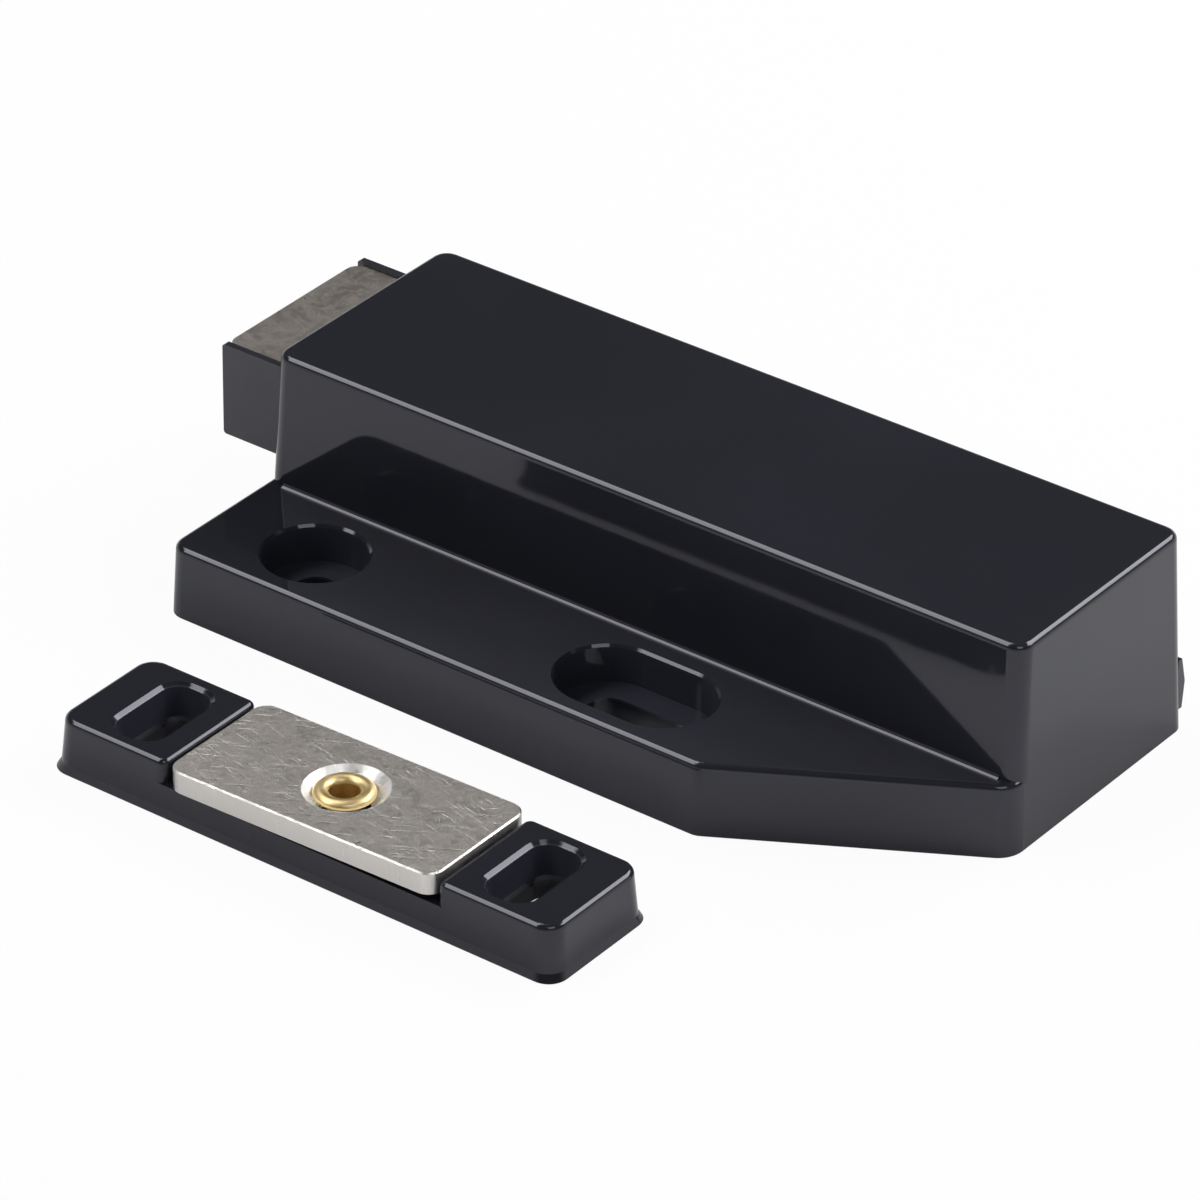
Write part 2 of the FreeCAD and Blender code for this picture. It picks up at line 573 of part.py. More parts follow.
# Plunger carrier. Its body starts at its front, on its middle plane, at its underside.
CARRIER_PLACE = ("-housing_length / 2 - carrier_reach",
                 "-housing_width / 2 + CENTRE_LINE", "carrier_bottom")
carrier = new_body("plunger_carrier", CARRIER_PLACE)
blank_plan = new_sketch(carrier, "blank_plan")
rectangle(blank_plan, "0", "-CARRIER_WIDTH / 2", "carrier_length", "CARRIER_WIDTH / 2")
pad(carrier, "blank", blank_plan, "carrier_height")
jaw_plan = new_sketch(carrier, "jaw_plan")
JAW_HALF = "(CARRIER_WIDTH / 2 - jaw_wall)"
rectangle(jaw_plan, "-PAST", "-" + JAW_HALF, "jaw_depth", JAW_HALF)
pocket(carrier, "magnet_pocket", jaw_plan, "carrier_height", reverse=True)
pole_slots = new_sketch(carrier, "pole_slot_plan", YZ, "jaw_depth - PAST")
rectangle(pole_slots, "-" + JAW_HALF, "pole_recess - pole_gap", JAW_HALF,
          "pole_recess + pole_thickness + pole_gap")
rectangle(pole_slots, "-" + JAW_HALF,
          "carrier_height - pole_recess - pole_thickness - pole_gap", JAW_HALF,
          "carrier_height - pole_recess + pole_gap")
pocket(carrier, "pole_slots", pole_slots,
       "pole_length - pole_proud - jaw_depth + PAST + pole_gap", reverse=True)
tail_plan = new_sketch(carrier, "tail_plan", offset="tail_floor")
rectangle(tail_plan, "jaw_depth + block_length", "-(CARRIER_WIDTH / 2 - tail_wall)",
          "carrier_length + PAST", "CARRIER_WIDTH / 2 - tail_wall")
pocket(carrier, "tail_trough", tail_plan, "carrier_height", reverse=True)
carrier_spigot = new_sketch(carrier, "spigot_plan", YZ, "jaw_depth + block_length")
circle(carrier_spigot, "0", "tail_floor + spring_height", SPIGOT)
pad(carrier, "spigot", carrier_spigot, "spigot_length")
lug_plan = new_sketch(carrier, "lug_plan")
for side in ("-", ""):
    middle = side + "LUG_SPACING"
    rectangle(lug_plan, "carrier_length - lug_length", middle + " - lug_width / 2",
              "carrier_length", middle + " + lug_width / 2")
pad(carrier, "stop_lugs", lug_plan, "lug_height", reverse=True)

# Heart-shaped track: a closed loop round an island whose notch catches the wire's tip.
cam_plan = new_sketch(carrier, "cam_plan")
HALF = "(heart_width / 2)"
SPREAD = "(heart_width / 4)"
NOTCH = ("(cam_place + (wire / 2 + wire_side_gap)"
         " * sqrt(heart_lobe ^ 2 + %s ^ 2) / %s)" % (SPREAD, SPREAD))
TRACK_WALL = [
    (NOTCH + " - heart_lobe - cam_width", SPREAD + " + cam_width"),
    (NOTCH + " + heart_lobe", HALF + " + cam_lane"),
    (NOTCH + " + heart_length + cam_width", "cam_entry / 2"),
    (NOTCH + " + heart_length + cam_width + cam_entry_length", "cam_entry / 2")]
outline(cam_plan, mirrored(TRACK_WALL, "cam_corner"))
outline(cam_plan, [
    (NOTCH, "0", "cam_corner"),
    (NOTCH + " - heart_lobe", "-" + SPREAD, "cam_corner"),
    (NOTCH + " + heart_lobe", "-" + HALF, "cam_corner"),
    (NOTCH + " + heart_length", "0", "cam_corner"),
    (NOTCH + " + heart_lobe", HALF, "cam_corner"),
    (NOTCH + " - heart_lobe", SPREAD, "cam_corner")])
pocket(carrier, "heart_track", cam_plan, "cam_depth", reverse=True)


def jaw_tip(edge):
    """Upper and lower edges at the front ends of the jaw's side walls."""
    box = edge.BoundBox
    return box.XMax < CLOSE and box.ZLength < CLOSE and box.YLength > value("jaw_wall / 2")


dress(carrier, "Fillet", "jaw_rounds", "Radius", "jaw_round", jaw_tip)


def pole_plate(label, low):
    """A stamped steel plate with rounded front corners; low is its height in the jaw."""
    body = new_body(label, (CARRIER_PLACE[0], CARRIER_PLACE[1], "carrier_bottom + " + low))
    plan = new_sketch(body, label + "_plan")
    reach = "(%s - pole_gap)" % JAW_HALF
    outline(plan, [("-pole_proud", "-" + reach, "pole_corner"),
                   ("pole_length - pole_proud", "-" + reach, "0"),
                   ("pole_length - pole_proud", reach, "0"),
                   ("-pole_proud", reach, "pole_corner")])
    pad(body, label + "_pad", plan, "pole_thickness")
    return body


lower_pole = pole_plate("lower_pole_plate", "pole_recess")
upper_pole = pole_plate("upper_pole_plate", "carrier_height - pole_recess - pole_thickness")

magnet = new_body("magnet", (CARRIER_PLACE[0], CARRIER_PLACE[1],
                             "carrier_bottom + pole_recess + pole_thickness"))
magnet_plan = new_sketch(magnet, "magnet_plan")
rectangle(magnet_plan, "magnet_set_back", "-(%s - pole_gap)" % JAW_HALF,
          "jaw_depth - pole_gap", "%s - pole_gap" % JAW_HALF)
pad(magnet, "magnet_block", magnet_plan,
    "carrier_height - 2 * pole_recess - 2 * pole_thickness")

# Ejector spring: it stands between its two seats, wound in short straight steps of wire
# with a six-sided section, which is close enough to round at its size.
COIL_STEPS = 9
WIRE_SIDES = 6
SPRING_LENGTH = "(spring_place - 2 * spring_gap - spring_wire)"
spring_steps = int(value("spring_turns")) * COIL_STEPS
pitch = value(SPRING_LENGTH) / spring_steps
coil_radius = value("(spring_outside - spring_wire) / 2")
along = Vector(1, 0, 0)
sections = []
for step in range(spring_steps + 1):
    turn = 2 * math.pi * step / COIL_STEPS
    outward = Vector(0, math.cos(turn), math.sin(turn))
    middle = outward * coil_radius + along * pitch * step
    ring = []
    for side in range(WIRE_SIDES + 1):
        angle = 2 * math.pi * side / WIRE_SIDES
        spoke = outward * math.cos(angle) + along * math.sin(angle)
        ring.append(middle + spoke * value("spring_wire / 2"))
    sections.append(Part.makePolygon(ring))
spring = doc.addObject("Part::Feature", "ejector_spring")
spring.Label = "ejector_spring"
spring.Shape = Part.makeLoft(sections, True, True)
spring.Placement = Placement(
    Vector(value("-housing_length / 2 + jaw_depth + block_length - carrier_reach"
                 " + spring_gap + spring_wire / 2"),
           value("-housing_width / 2 + CENTRE_LINE"), value(SPRING_AXIS)), Rotation())

# Latch wire: its leg turns in the cover's boss, its tip stands in the heart track.
latch_wire = new_body("latch_wire",
                      ("-housing_length / 2 + " + WIRE_TIP,
                       "-housing_width / 2 + CENTRE_LINE", WIRE_ARM))
wire_path = new_sketch(latch_wire, "wire_path", XZ)
TIP_RISE = "(wire_drop + cam_depth - wire_tip_gap)"
run = value("wire_length")
bend = value("wire_bend")
wire_lines = [
    Part.LineSegment(Vector(0, value(TIP_RISE), 0), Vector(0, bend, 0)),
    Part.LineSegment(Vector(bend, 0, 0), Vector(run - bend, 0, 0)),
    Part.LineSegment(Vector(run, -bend, 0), Vector(run, -value("pivot_leg"), 0))]
rise, arm, leg = [wire_path.addGeometry(line) for line in wire_lines]
turn_x = bend * (1 - math.cos(math.pi / 4))
first_bend = wire_path.addGeometry(Part.Arc(
    Vector(0, bend, 0), Vector(turn_x, turn_x, 0), Vector(bend, 0, 0)))
last_bend = wire_path.addGeometry(Part.Arc(
    Vector(run - bend, 0, 0), Vector(run - turn_x, -turn_x, 0), Vector(run, -bend, 0)))
constrain(wire_path, "Vertical", rise)
constrain(wire_path, "Horizontal", arm)
constrain(wire_path, "Vertical", leg)
constrain(wire_path, "Tangent", rise, 2, first_bend, 1)
constrain(wire_path, "Tangent", first_bend, 2, arm, 1)
constrain(wire_path, "Tangent", arm, 2, last_bend, 2)
constrain(wire_path, "Tangent", last_bend, 1, leg, 1)
constrain(wire_path, "Radius", first_bend, formula="wire_bend")
constrain(wire_path, "Radius", last_bend, formula="wire_bend")
pin_point(wire_path, rise, 1, "0", TIP_RISE)
pin_point(wire_path, leg, 2, "wire_length", "-pivot_leg")
constrain(wire_path, "DistanceY", -1, 1, arm, 1, formula="0")
wire_round = new_sketch(latch_wire, "wire_round", XY, TIP_RISE)
circle(wire_round, "0", "0", "wire")
drawn = latch_wire.newObject("PartDesign::AdditivePipe", "drawn_wire")
drawn.Profile = wire_round
drawn.Spine = (wire_path, [])
doc.recompute()


def centred(sketch, length, width, radius="0"):
    rectangle(sketch, "-(%s) / 2" % length, "-(%s) / 2" % width,
              "(%s) / 2" % length, "(%s) / 2" % width, radius)


# Foot of the strike base: it flares out towards the mounting face.
foot = new_body("foot", ("0", "0", "0"))
foot_plan = new_sketch(foot, "foot_plan")
centred(foot_plan, "strike_length", "strike_width")
pad(foot, "foot_block", foot_plan, "strike_foot")
draft(foot, "foot_flare", "strike_flare_draft", lambda normal: abs(normal.z) < FACING)
dress(foot, "Fillet", "foot_corners", "Radius", "strike_corner",
      lambda edge: edge.BoundBox.ZLength > value("strike_foot / 2"))

# Strike base. Its body starts at the middle of its mounting face.
STRIKE_PLACE = ("strike_across", "strike_apart", "0")
strike_base = new_body("strike_base", STRIKE_PLACE)
block_plan = new_sketch(strike_base, "block_plan")
SHOULDER = "2 * strike_flare"
centred(block_plan, "strike_length - " + SHOULDER, "strike_width - " + SHOULDER)
pad(strike_base, "block", block_plan, "strike_height")
draft(strike_base, "block_draft", "strike_draft", lambda normal: abs(normal.z) < FACING)
dress(strike_base, "Fillet", "block_corners", "Radius", "strike_corner - strike_flare",
      lambda edge: upright(edge, value("strike_height")))
EAR_FACE = "(strike_length / 2 - ear_length)"
gap_plan = new_sketch(strike_base, "gap_plan", offset="ledge_height")
rectangle(gap_plan, "-" + EAR_FACE, "-strike_width", EAR_FACE, "strike_width")
pocket(strike_base, "plate_seat", gap_plan, "strike_height", reverse=True)
dress(strike_base, "Fillet", "ear_corners", "Radius", "ear_corner",
      lambda edge: upright(edge, value("strike_height"))
      and abs(edge.BoundBox.Center.x) < value(EAR_FACE) + CLOSE)
dress(strike_base, "Fillet", "ear_rounds", "Radius", "ear_round",
      lambda edge: level(edge, value("strike_height")))
join(strike_base, "strike_body", foot)
EAR_MIDDLE = "(strike_length / 2 - ear_slot_place)"
for name, side in (("left", "-"), ("right", "")):
    dish = new_sketch(strike_base, name + "_dish_plan", offset="strike_height")
    middle = side + EAR_MIDDLE
    wide = "(ear_slot_width / 2 + ear_dish)"
    tall = "(ear_slot_length / 2 + ear_dish)"
    rectangle(dish, middle + " - " + wide, "-" + tall, middle + " + " + wide, tall,
              "ear_dish_corner")
    pocket(strike_base, name + "_dish", dish, "ear_dish_depth", taper="-ear_dish_draft")
    dress(strike_base, "Chamfer", name + "_dish_rim", "Size", "ear_dish_edge",
          lambda edge: level(edge, value("strike_height"))
          and abs(edge.BoundBox.Center.x - value(middle)) < value(wide) + CLOSE
          and abs(edge.BoundBox.Center.y) < value(tall) + CLOSE)
    through = new_sketch(strike_base, name + "_slot_plan", offset="strike_height")
    half = "(ear_slot_width / 2)"
    rectangle(through, middle + " - " + half, "-ear_slot_length / 2",
              middle + " + " + half, "ear_slot_length / 2", "ear_slot_corner")
    pocket(strike_base, name + "_slot", through, "strike_height + PAST")

PIVOT_HEIGHT = "(ledge_height + plate_length / 2 * sin(plate_rock) + end_gap)"
rib_plan = new_sketch(strike_base, "rib_plan", offset="ledge_height - INSIDE")
centred(rib_plan, "rib_width", "plate_width - 2 * rib_inset")
pad(strike_base, "rocking_rib", rib_plan,
    "%s - rock_gap - ledge_height + INSIDE" % PIVOT_HEIGHT)
EYELET_X = "strike_across + eyelet_place"
rivet_plan = new_sketch(strike_base, "rivet_plan", offset="-PAST")
circle(rivet_plan, "eyelet_place", "0", "eyelet_shank")
pocket(strike_base, "rivet_hole", rivet_plan, "strike_height", reverse=True)
recess_plan = new_sketch(strike_base, "recess_plan")
circle(recess_plan, "eyelet_place", "0", "tail_recess")
pocket(strike_base, "rivet_recess", recess_plan, "tail_recess_depth", reverse=True)

# Steel plate: it rocks on the rib, and at rest its plunger end lies on the ledge.
strike_plate = new_body("strike_plate",
                        ("strike_across + plate_shift", "strike_apart", PIVOT_HEIGHT),
                        turn=(Vector(0, 1, 0), "-plate_rock"))
plate_plan = new_sketch(strike_plate, "plate_plan")
centred(plate_plan, "plate_length", "plate_width", "plate_corner")
circle(plate_plan, "0", "0", "plate_hole")
pad(strike_plate, "stamped_plate", plate_plan, "plate_thickness")
dress(strike_plate, "Chamfer", "broken_edge", "Size", "plate_edge",
      lambda edge: level(edge, value("plate_thickness")) and not edge.isClosed())
dress(strike_plate, "Chamfer", "countersunk_hole", "Size", "(countersink - plate_hole) / 2",
      lambda edge: level(edge, value("plate_thickness")) and edge.isClosed())

# Brass eyelet: a tube rolled over in the plate's countersink and under the base.
eyelet = new_body("strike_eyelet", (EYELET_X, "strike_apart", "0"))
CREST = "(%s + plate_thickness - eyelet_sunk)" % PIVOT_HEIGHT
eyelet_section = new_sketch(eyelet, "eyelet_section", XZ)
outline(eyelet_section, [
    ("eyelet_bore / 2", "tail_gap", "0"),
    ("eyelet_tail / 2 - eyelet_tail_edge", "tail_gap", "0"),
    ("eyelet_tail / 2", "tail_gap + eyelet_tail_edge", "0"),
    ("eyelet_tail / 2", "tail_recess_depth", "0"),
    ("eyelet_shank / 2", "tail_recess_depth", "0"),
    ("eyelet_shank / 2", CREST + " - eyelet_throat", "0"),
    ("eyelet_flange / 2", CREST + " - eyelet_rim_foot", "0"),
    ("eyelet_flange / 2", CREST + " - eyelet_rim_top", "0"),
    ("eyelet_crest / 2", CREST, "eyelet_dome"),
    ("eyelet_bore / 2", CREST, "eyelet_mouth")])
turned = eyelet.newObject("PartDesign::Revolution", "rolled_tube")
turned.Profile = eyelet_section
turned.ReferenceAxis = (eyelet_section, ["V_Axis"])
turned.Angle = 360
doc.recompute()

PARTS = [housing, cover, carrier, lower_pole, upper_pole, magnet, spring, latch_wire,
         strike_base, strike_plate, eyelet]
doc.recompute()
for item in doc.Objects:
    if "Invalid" in item.State or "Error" in item.State:
        raise RuntimeError("%s failed: %s" % (item.Name, item.State))
os.makedirs("parts", exist_ok=True)
for body in PARTS:
    shape = body.Shape
    if shape.isNull() or not shape.isValid():
        raise RuntimeError(body.Label + " has no valid shape")
    shape.exportStep("parts/%s.step" % body.Label)
    print("%-18s %2d solids %10.2f mm3" % (body.Label, len(shape.Solids), shape.Volume))
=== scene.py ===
import math

import bpy
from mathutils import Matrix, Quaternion, Vector


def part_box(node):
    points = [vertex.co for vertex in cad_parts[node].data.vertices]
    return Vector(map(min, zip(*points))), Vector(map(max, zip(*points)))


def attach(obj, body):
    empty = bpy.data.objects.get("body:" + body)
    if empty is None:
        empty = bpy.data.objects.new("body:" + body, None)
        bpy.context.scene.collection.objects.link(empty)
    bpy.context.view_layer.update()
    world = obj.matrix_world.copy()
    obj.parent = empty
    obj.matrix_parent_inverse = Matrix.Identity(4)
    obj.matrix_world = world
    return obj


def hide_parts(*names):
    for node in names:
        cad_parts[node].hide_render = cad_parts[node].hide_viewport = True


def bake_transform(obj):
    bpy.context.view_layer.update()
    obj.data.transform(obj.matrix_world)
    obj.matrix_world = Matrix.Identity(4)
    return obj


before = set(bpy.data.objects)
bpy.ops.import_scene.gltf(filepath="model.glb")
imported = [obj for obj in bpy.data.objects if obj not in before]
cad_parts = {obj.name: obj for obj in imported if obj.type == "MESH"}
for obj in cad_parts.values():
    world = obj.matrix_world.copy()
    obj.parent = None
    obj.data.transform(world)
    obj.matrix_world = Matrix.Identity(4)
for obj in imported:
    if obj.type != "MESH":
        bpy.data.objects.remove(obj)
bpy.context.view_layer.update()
for leftover in ("Cube", "Light", "Camera"):
    if leftover in bpy.data.objects:
        bpy.data.objects.remove(bpy.data.objects[leftover])


# Camera. A long lens looks down on the flange and the plunger's side of the latch, with
# the strike in front of it, as a product photograph does.
MM = 0.001
AIM_POINT = Vector((-5.10, -4.68, 8.0)) * MM
CAMERA_AZIMUTH = math.radians(36.54)
CAMERA_ELEVATION = math.radians(31.86)
CAMERA_ROLL = math.radians(0.78)
CAMERA_DISTANCE = 728.03 * MM
LENS_MM = 227.1
CLIP_NEAR = 0.05
CLIP_FAR = 20.0


def put_in_scene(name, data):
    """A new object round its data, linked to the scene."""
    holder = bpy.data.objects.new(name, data)
    bpy.context.scene.collection.objects.link(holder)
    return holder


back = Vector((math.sin(CAMERA_AZIMUTH) * math.cos(CAMERA_ELEVATION),
               -math.cos(CAMERA_AZIMUTH) * math.cos(CAMERA_ELEVATION),
               math.sin(CAMERA_ELEVATION)))
camera = put_in_scene("camera", bpy.data.cameras.new("camera"))
camera.data.lens = LENS_MM
camera.data.clip_start = CLIP_NEAR
camera.data.clip_end = CLIP_FAR
camera.location = AIM_POINT + back * CAMERA_DISTANCE
camera.rotation_mode = "QUATERNION"
level_look = (-back).to_track_quat("-Z", "Y")
camera.rotation_quaternion = level_look @ Quaternion((0, 0, 1), CAMERA_ROLL)
bpy.context.scene.camera = camera


# Housing. The latch's case: blue-black polystyrene, moulded in a polished tool, with small
# rounded edges. Two screws fix its flange to the cabinet, and their heads sit in recesses.
HOUSING_BLACK = (0.0155, 0.0164, 0.0222, 1.0)
HOUSING_SMEAR = (0.0182, 0.0191, 0.0266, 1.0)
DUST_GREY = (0.10, 0.10, 0.11, 1.0)
# Painted light: the recesses' paler tone stands in for the fill light that reaches them.
RECESS_PAINTED_LIGHT = (0.032, 0.035, 0.048, 1.0)
RECESS_FILM = 0.25
HEAD_RECESSES = (   # middle and half size of the round one, then of the slotted one
    ((-32.35 * MM, -14.45 * MM, 5.4 * MM), (5.45 * MM, 5.45 * MM, 2.05 * MM)),
    ((6.50 * MM, -14.45 * MM, 5.4 * MM), (8.60 * MM, 5.45 * MM, 2.05 * MM)))
SMEAR_SCALE = 28.0   # this and the next scales are texture cells in a metre
WIPE_SCALE = 34.0
FLOW_SCALE = 45.0
SPECK_SCALE = 260.0
GRAIN_SCALE = 900.0
SPECK_EDGE = (0.05, 0.028)
SPECK_CHANCE = (0.90, 0.94)
SPECK_DULLNESS = 0.4
SPECK_HEIGHT = 0.05
WIPE_DULLNESS = 0.03
GRAIN_HEIGHT = 0.02
SKIN_RELIEF = 0.25 * MM
SKIN_RELIEF_STRENGTH = 0.35
PLASTIC_IOR = 1.53
PLASTIC_TINT = (0.90, 0.90, 1.0, 1.0)
FILM_DULLNESS = 0.42
FILM_IOR = 1.35


def add_node(tree, kind, x, y, **settings):
    """A node at its place in the tree's layout, with its settings."""
    node = tree.nodes.new(kind)
    node.location = (x, y)
    for key, setting in settings.items():
        setattr(node, key, setting)
    return node


def new_group(name, inputs, outputs):
    """An empty shader group with its sockets: (name, type, default) and (name, type)."""
    group = bpy.data.node_groups.new(name, "ShaderNodeTree")
    for label, kind, default in inputs:
        socket = group.interface.new_socket(label, in_out="INPUT", socket_type=kind)
        socket.default_value = default
    for label, kind in outputs:
        group.interface.new_socket(label, in_out="OUTPUT", socket_type=kind)
    entry = add_node(group, "NodeGroupInput", -1200, 0)
    leave = add_node(group, "NodeGroupOutput", 900, 0)
    return group, entry, leave


def noise(tree, x, y, scale, detail, vector, roughness=0.5):
    texture = add_node(tree, "ShaderNodeTexNoise", x, y)
    texture.inputs["Scale"].default_value = scale
    texture.inputs["Detail"].default_value = detail
    texture.inputs["Roughness"].default_value = roughness
    tree.links.new(vector, texture.inputs["Vector"])
    return texture.outputs["Fac"]


def band(tree, x, y, source, low, high, to_low=0.0, to_high=1.0):
    """Map a value from low..high to to_low..to_high, and hold it there outside."""
    stretch = add_node(tree, "ShaderNodeMapRange", x, y)
    stretch.inputs["From Min"].default_value = low
    stretch.inputs["From Max"].default_value = high
    stretch.inputs["To Min"].default_value = to_low
    stretch.inputs["To Max"].default_value = to_high
    tree.links.new(source, stretch.inputs["Value"])
    return stretch.outputs["Result"]


def arithmetic(tree, x, y, operation, first, second=0.0):
    node = add_node(tree, "ShaderNodeMath", x, y, operation=operation)
    for index, item in enumerate((first, second)):
        if isinstance(item, (int, float)):
            node.inputs[index].default_value = item
        else:
            tree.links.new(item, node.inputs[index])
    return node.outputs[0]


def blend_colour(tree, x, y, mask, first, second):
    node = add_node(tree, "ShaderNodeMix", x, y, data_type="RGBA")
    tree.links.new(mask, node.inputs["Factor"])
    for socket, item in ((node.inputs[6], first), (node.inputs[7], second)):
        if isinstance(item, tuple):
            socket.default_value = item
        else:
            tree.links.new(item, socket)
    return node.outputs[2]


def relief(tree, x, y, height, strength, depth):
    bump = add_node(tree, "ShaderNodeBump", x, y)
    bump.inputs["Strength"].default_value = strength
    bump.inputs["Distance"].default_value = depth
    tree.links.new(height, bump.inputs["Height"])
    return bump.outputs["Normal"]


def moulded_skin_group():
    """Gloss moulding: slow smears in colour and haze, pin-head specks, faint flow ripple."""
    group, entry, leave = new_group(
        "moulded_skin",
        [("Vector", "NodeSocketVector", (0, 0, 0)),
         ("Black", "NodeSocketColor", HOUSING_BLACK),
         ("Smear", "NodeSocketColor", HOUSING_SMEAR),
         ("Gloss", "NodeSocketFloat", 0.05),
         ("Haze", "NodeSocketFloat", 0.5),
         ("Specks", "NodeSocketFloat", 0.5),
         ("Ripple", "NodeSocketFloat", 0.5)],
        [("Colour", "NodeSocketColor"), ("Roughness", "NodeSocketFloat"),
         ("Haze", "NodeSocketFloat"), ("Normal", "NodeSocketVector")])
    vector = entry.outputs["Vector"]
    clouds = noise(group, -800, 300, SMEAR_SCALE, 3.0, vector)
    clouds = band(group, -600, 300, clouds, 0.35, 0.7)
    base = blend_colour(group, -300, 300, clouds, entry.outputs["Black"],
                        entry.outputs["Smear"])
    cells = add_node(group, "ShaderNodeTexVoronoi", -800, -100)
    cells.inputs["Scale"].default_value = SPECK_SCALE
    group.links.new(vector, cells.inputs["Vector"])
    pin = band(group, -600, -100, cells.outputs["Distance"], *SPECK_EDGE)
    chance = band(group, -600, -300, cells.outputs["Color"], *SPECK_CHANCE)
    speck = arithmetic(group, -400, -150, "MULTIPLY", pin, chance)
    speck = arithmetic(group, -200, -150, "MULTIPLY", speck, entry.outputs["Specks"])
    colour = blend_colour(group, 100, 300, speck, base, DUST_GREY)
    wipe = noise(group, -800, -500, WIPE_SCALE, 4.0, vector, 0.6)
    rough = arithmetic(group, -300, -500, "ADD", entry.outputs["Gloss"],
                       band(group, -600, -500, wipe, 0.45, 0.75, 0.0, WIPE_DULLNESS))
    rough = arithmetic(group, -100, -450, "ADD", rough,
                       arithmetic(group, -300, -650, "MULTIPLY", speck, SPECK_DULLNESS))
    haze = arithmetic(group, 100, 0, "MULTIPLY", entry.outputs["Haze"],
                      band(group, -100, 0, wipe, 0.38, 0.68, 0.7, 1.7))
    flow = noise(group, -800, -800, FLOW_SCALE, 2.0, vector)
    grain = noise(group, -800, -1000, GRAIN_SCALE, 2.0, vector)
    height = arithmetic(group, -500, -850, "ADD", flow,
                        arithmetic(group, -650, -1000, "MULTIPLY", grain, GRAIN_HEIGHT))
    height = arithmetic(group, -300, -850, "MULTIPLY", height, entry.outputs["Ripple"])
    height = arithmetic(group, -100, -850, "ADD", height,
                        arithmetic(group, -300, -1000, "MULTIPLY", speck, SPECK_HEIGHT))
    group.links.new(colour, leave.inputs["Colour"])
    group.links.new(rough, leave.inputs["Roughness"])
    group.links.new(haze, leave.inputs["Haze"])
    bumpy = relief(group, 200, -800, height, SKIN_RELIEF_STRENGTH, SKIN_RELIEF)
    group.links.new(bumpy, leave.inputs["Normal"])
    return group


moulded_skin = moulded_skin_group()


def new_material(name):
    """A material with its Principled shader and the object's own coordinates."""
    material = bpy.data.materials.new(name)
    material.use_nodes = True
    tree = material.node_tree
    shader = tree.nodes["Principled BSDF"]
    shader.location = (600, 0)
    place = add_node(tree, "ShaderNodeTexCoord", -1400, 0)
    return material, tree, shader, place


def moulded_plastic(name, black, smear, gloss, haze, specks, ripple):
    """Polished black plastic under a thin dull film, which spreads a lamp's light widely."""
    material, tree, shader, place = new_material(name)
    skin = add_node(tree, "ShaderNodeGroup", 0, 0)
    skin.node_tree = moulded_skin
    for label, setting in (("Black", black), ("Smear", smear), ("Gloss", gloss),
                           ("Haze", haze), ("Specks", specks), ("Ripple", ripple)):
        skin.inputs[label].default_value = setting
    tree.links.new(place.outputs["Object"], skin.inputs["Vector"])
    tree.links.new(skin.outputs["Colour"], shader.inputs["Base Color"])
    tree.links.new(skin.outputs["Roughness"], shader.inputs["Roughness"])
    tree.links.new(skin.outputs["Haze"], shader.inputs["Coat Weight"])
    tree.links.new(skin.outputs["Normal"], shader.inputs["Normal"])
    shader.inputs["IOR"].default_value = PLASTIC_IOR
    shader.inputs["Coat Roughness"].default_value = FILM_DULLNESS
    shader.inputs["Coat IOR"].default_value = FILM_IOR
    shader.inputs["Specular Tint"].default_value = PLASTIC_TINT
    return material


def inside_block(tree, x, y, vector, centre, reach):
    """1 inside the upright block round centre that reaches so far to each side, else 0."""
    offset = add_node(tree, "ShaderNodeVectorMath", x, y, operation="SUBTRACT")
    offset.inputs[1].default_value = centre
    tree.links.new(vector, offset.inputs[0])
    share = add_node(tree, "ShaderNodeVectorMath", x + 200, y, operation="DIVIDE")
    share.inputs[1].default_value = reach
    tree.links.new(offset.outputs[0], share.inputs[0])
    size = add_node(tree, "ShaderNodeVectorMath", x + 400, y, operation="ABSOLUTE")
    tree.links.new(share.outputs[0], size.inputs[0])
    parts = add_node(tree, "ShaderNodeSeparateXYZ", x + 600, y)
    tree.links.new(size.outputs[0], parts.inputs[0])
    largest = arithmetic(tree, x + 800, y, "MAXIMUM", parts.outputs["X"],
                         arithmetic(tree, x + 700, y - 100, "MAXIMUM", parts.outputs["Y"],
                                    parts.outputs["Z"]))
    return arithmetic(tree, x + 900, y, "LESS_THAN", largest, 1.0)


def recesses_with_painted_light(material, blocks, tone):
    """Recesses get a duller film, as off unpolished pins of the tool, and a paler colour,
    which is painted light standing in for the fill light they would get.
    """
    tree = material.node_tree
    shader = tree.nodes["Principled BSDF"]
    place = next(node for node in tree.nodes if node.type == "TEX_COORD")
    mask = None
    for index, (centre, reach) in enumerate(blocks):
        inside = inside_block(tree, -1200, -800 - 300 * index, place.outputs["Object"],
                              centre, reach)
        mask = inside if mask is None else arithmetic(tree, -100, -800 - 300 * index,
                                                      "MAXIMUM", mask, inside)
    skin_colour = shader.inputs["Base Color"].links[0].from_socket
    tree.links.new(blend_colour(tree, 300, 300, mask, skin_colour, tone),
                   shader.inputs["Base Color"])
    skin_haze = shader.inputs["Coat Weight"].links[0].from_socket
    tree.links.new(arithmetic(tree, 300, -200, "ADD", skin_haze,
                              arithmetic(tree, 200, -300, "MULTIPLY", mask, RECESS_FILM)),
                   shader.inputs["Coat Weight"])


def finish_node(node_name, material):
    """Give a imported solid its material."""
    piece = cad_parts[node_name]
    piece.data.materials.clear()
    piece.data.materials.append(material)


housing_plastic = moulded_plastic("housing_plastic_finish", HOUSING_BLACK, HOUSING_SMEAR,
                                  gloss=0.05, haze=0.12, specks=0.6, ripple=0.5)
# The paler colour in the screw-head recesses is painted light, standing in for the fill light
# that reaches them.
recesses_with_painted_light(housing_plastic, HEAD_RECESSES, RECESS_PAINTED_LIGHT)
finish_node("housing", housing_plastic)


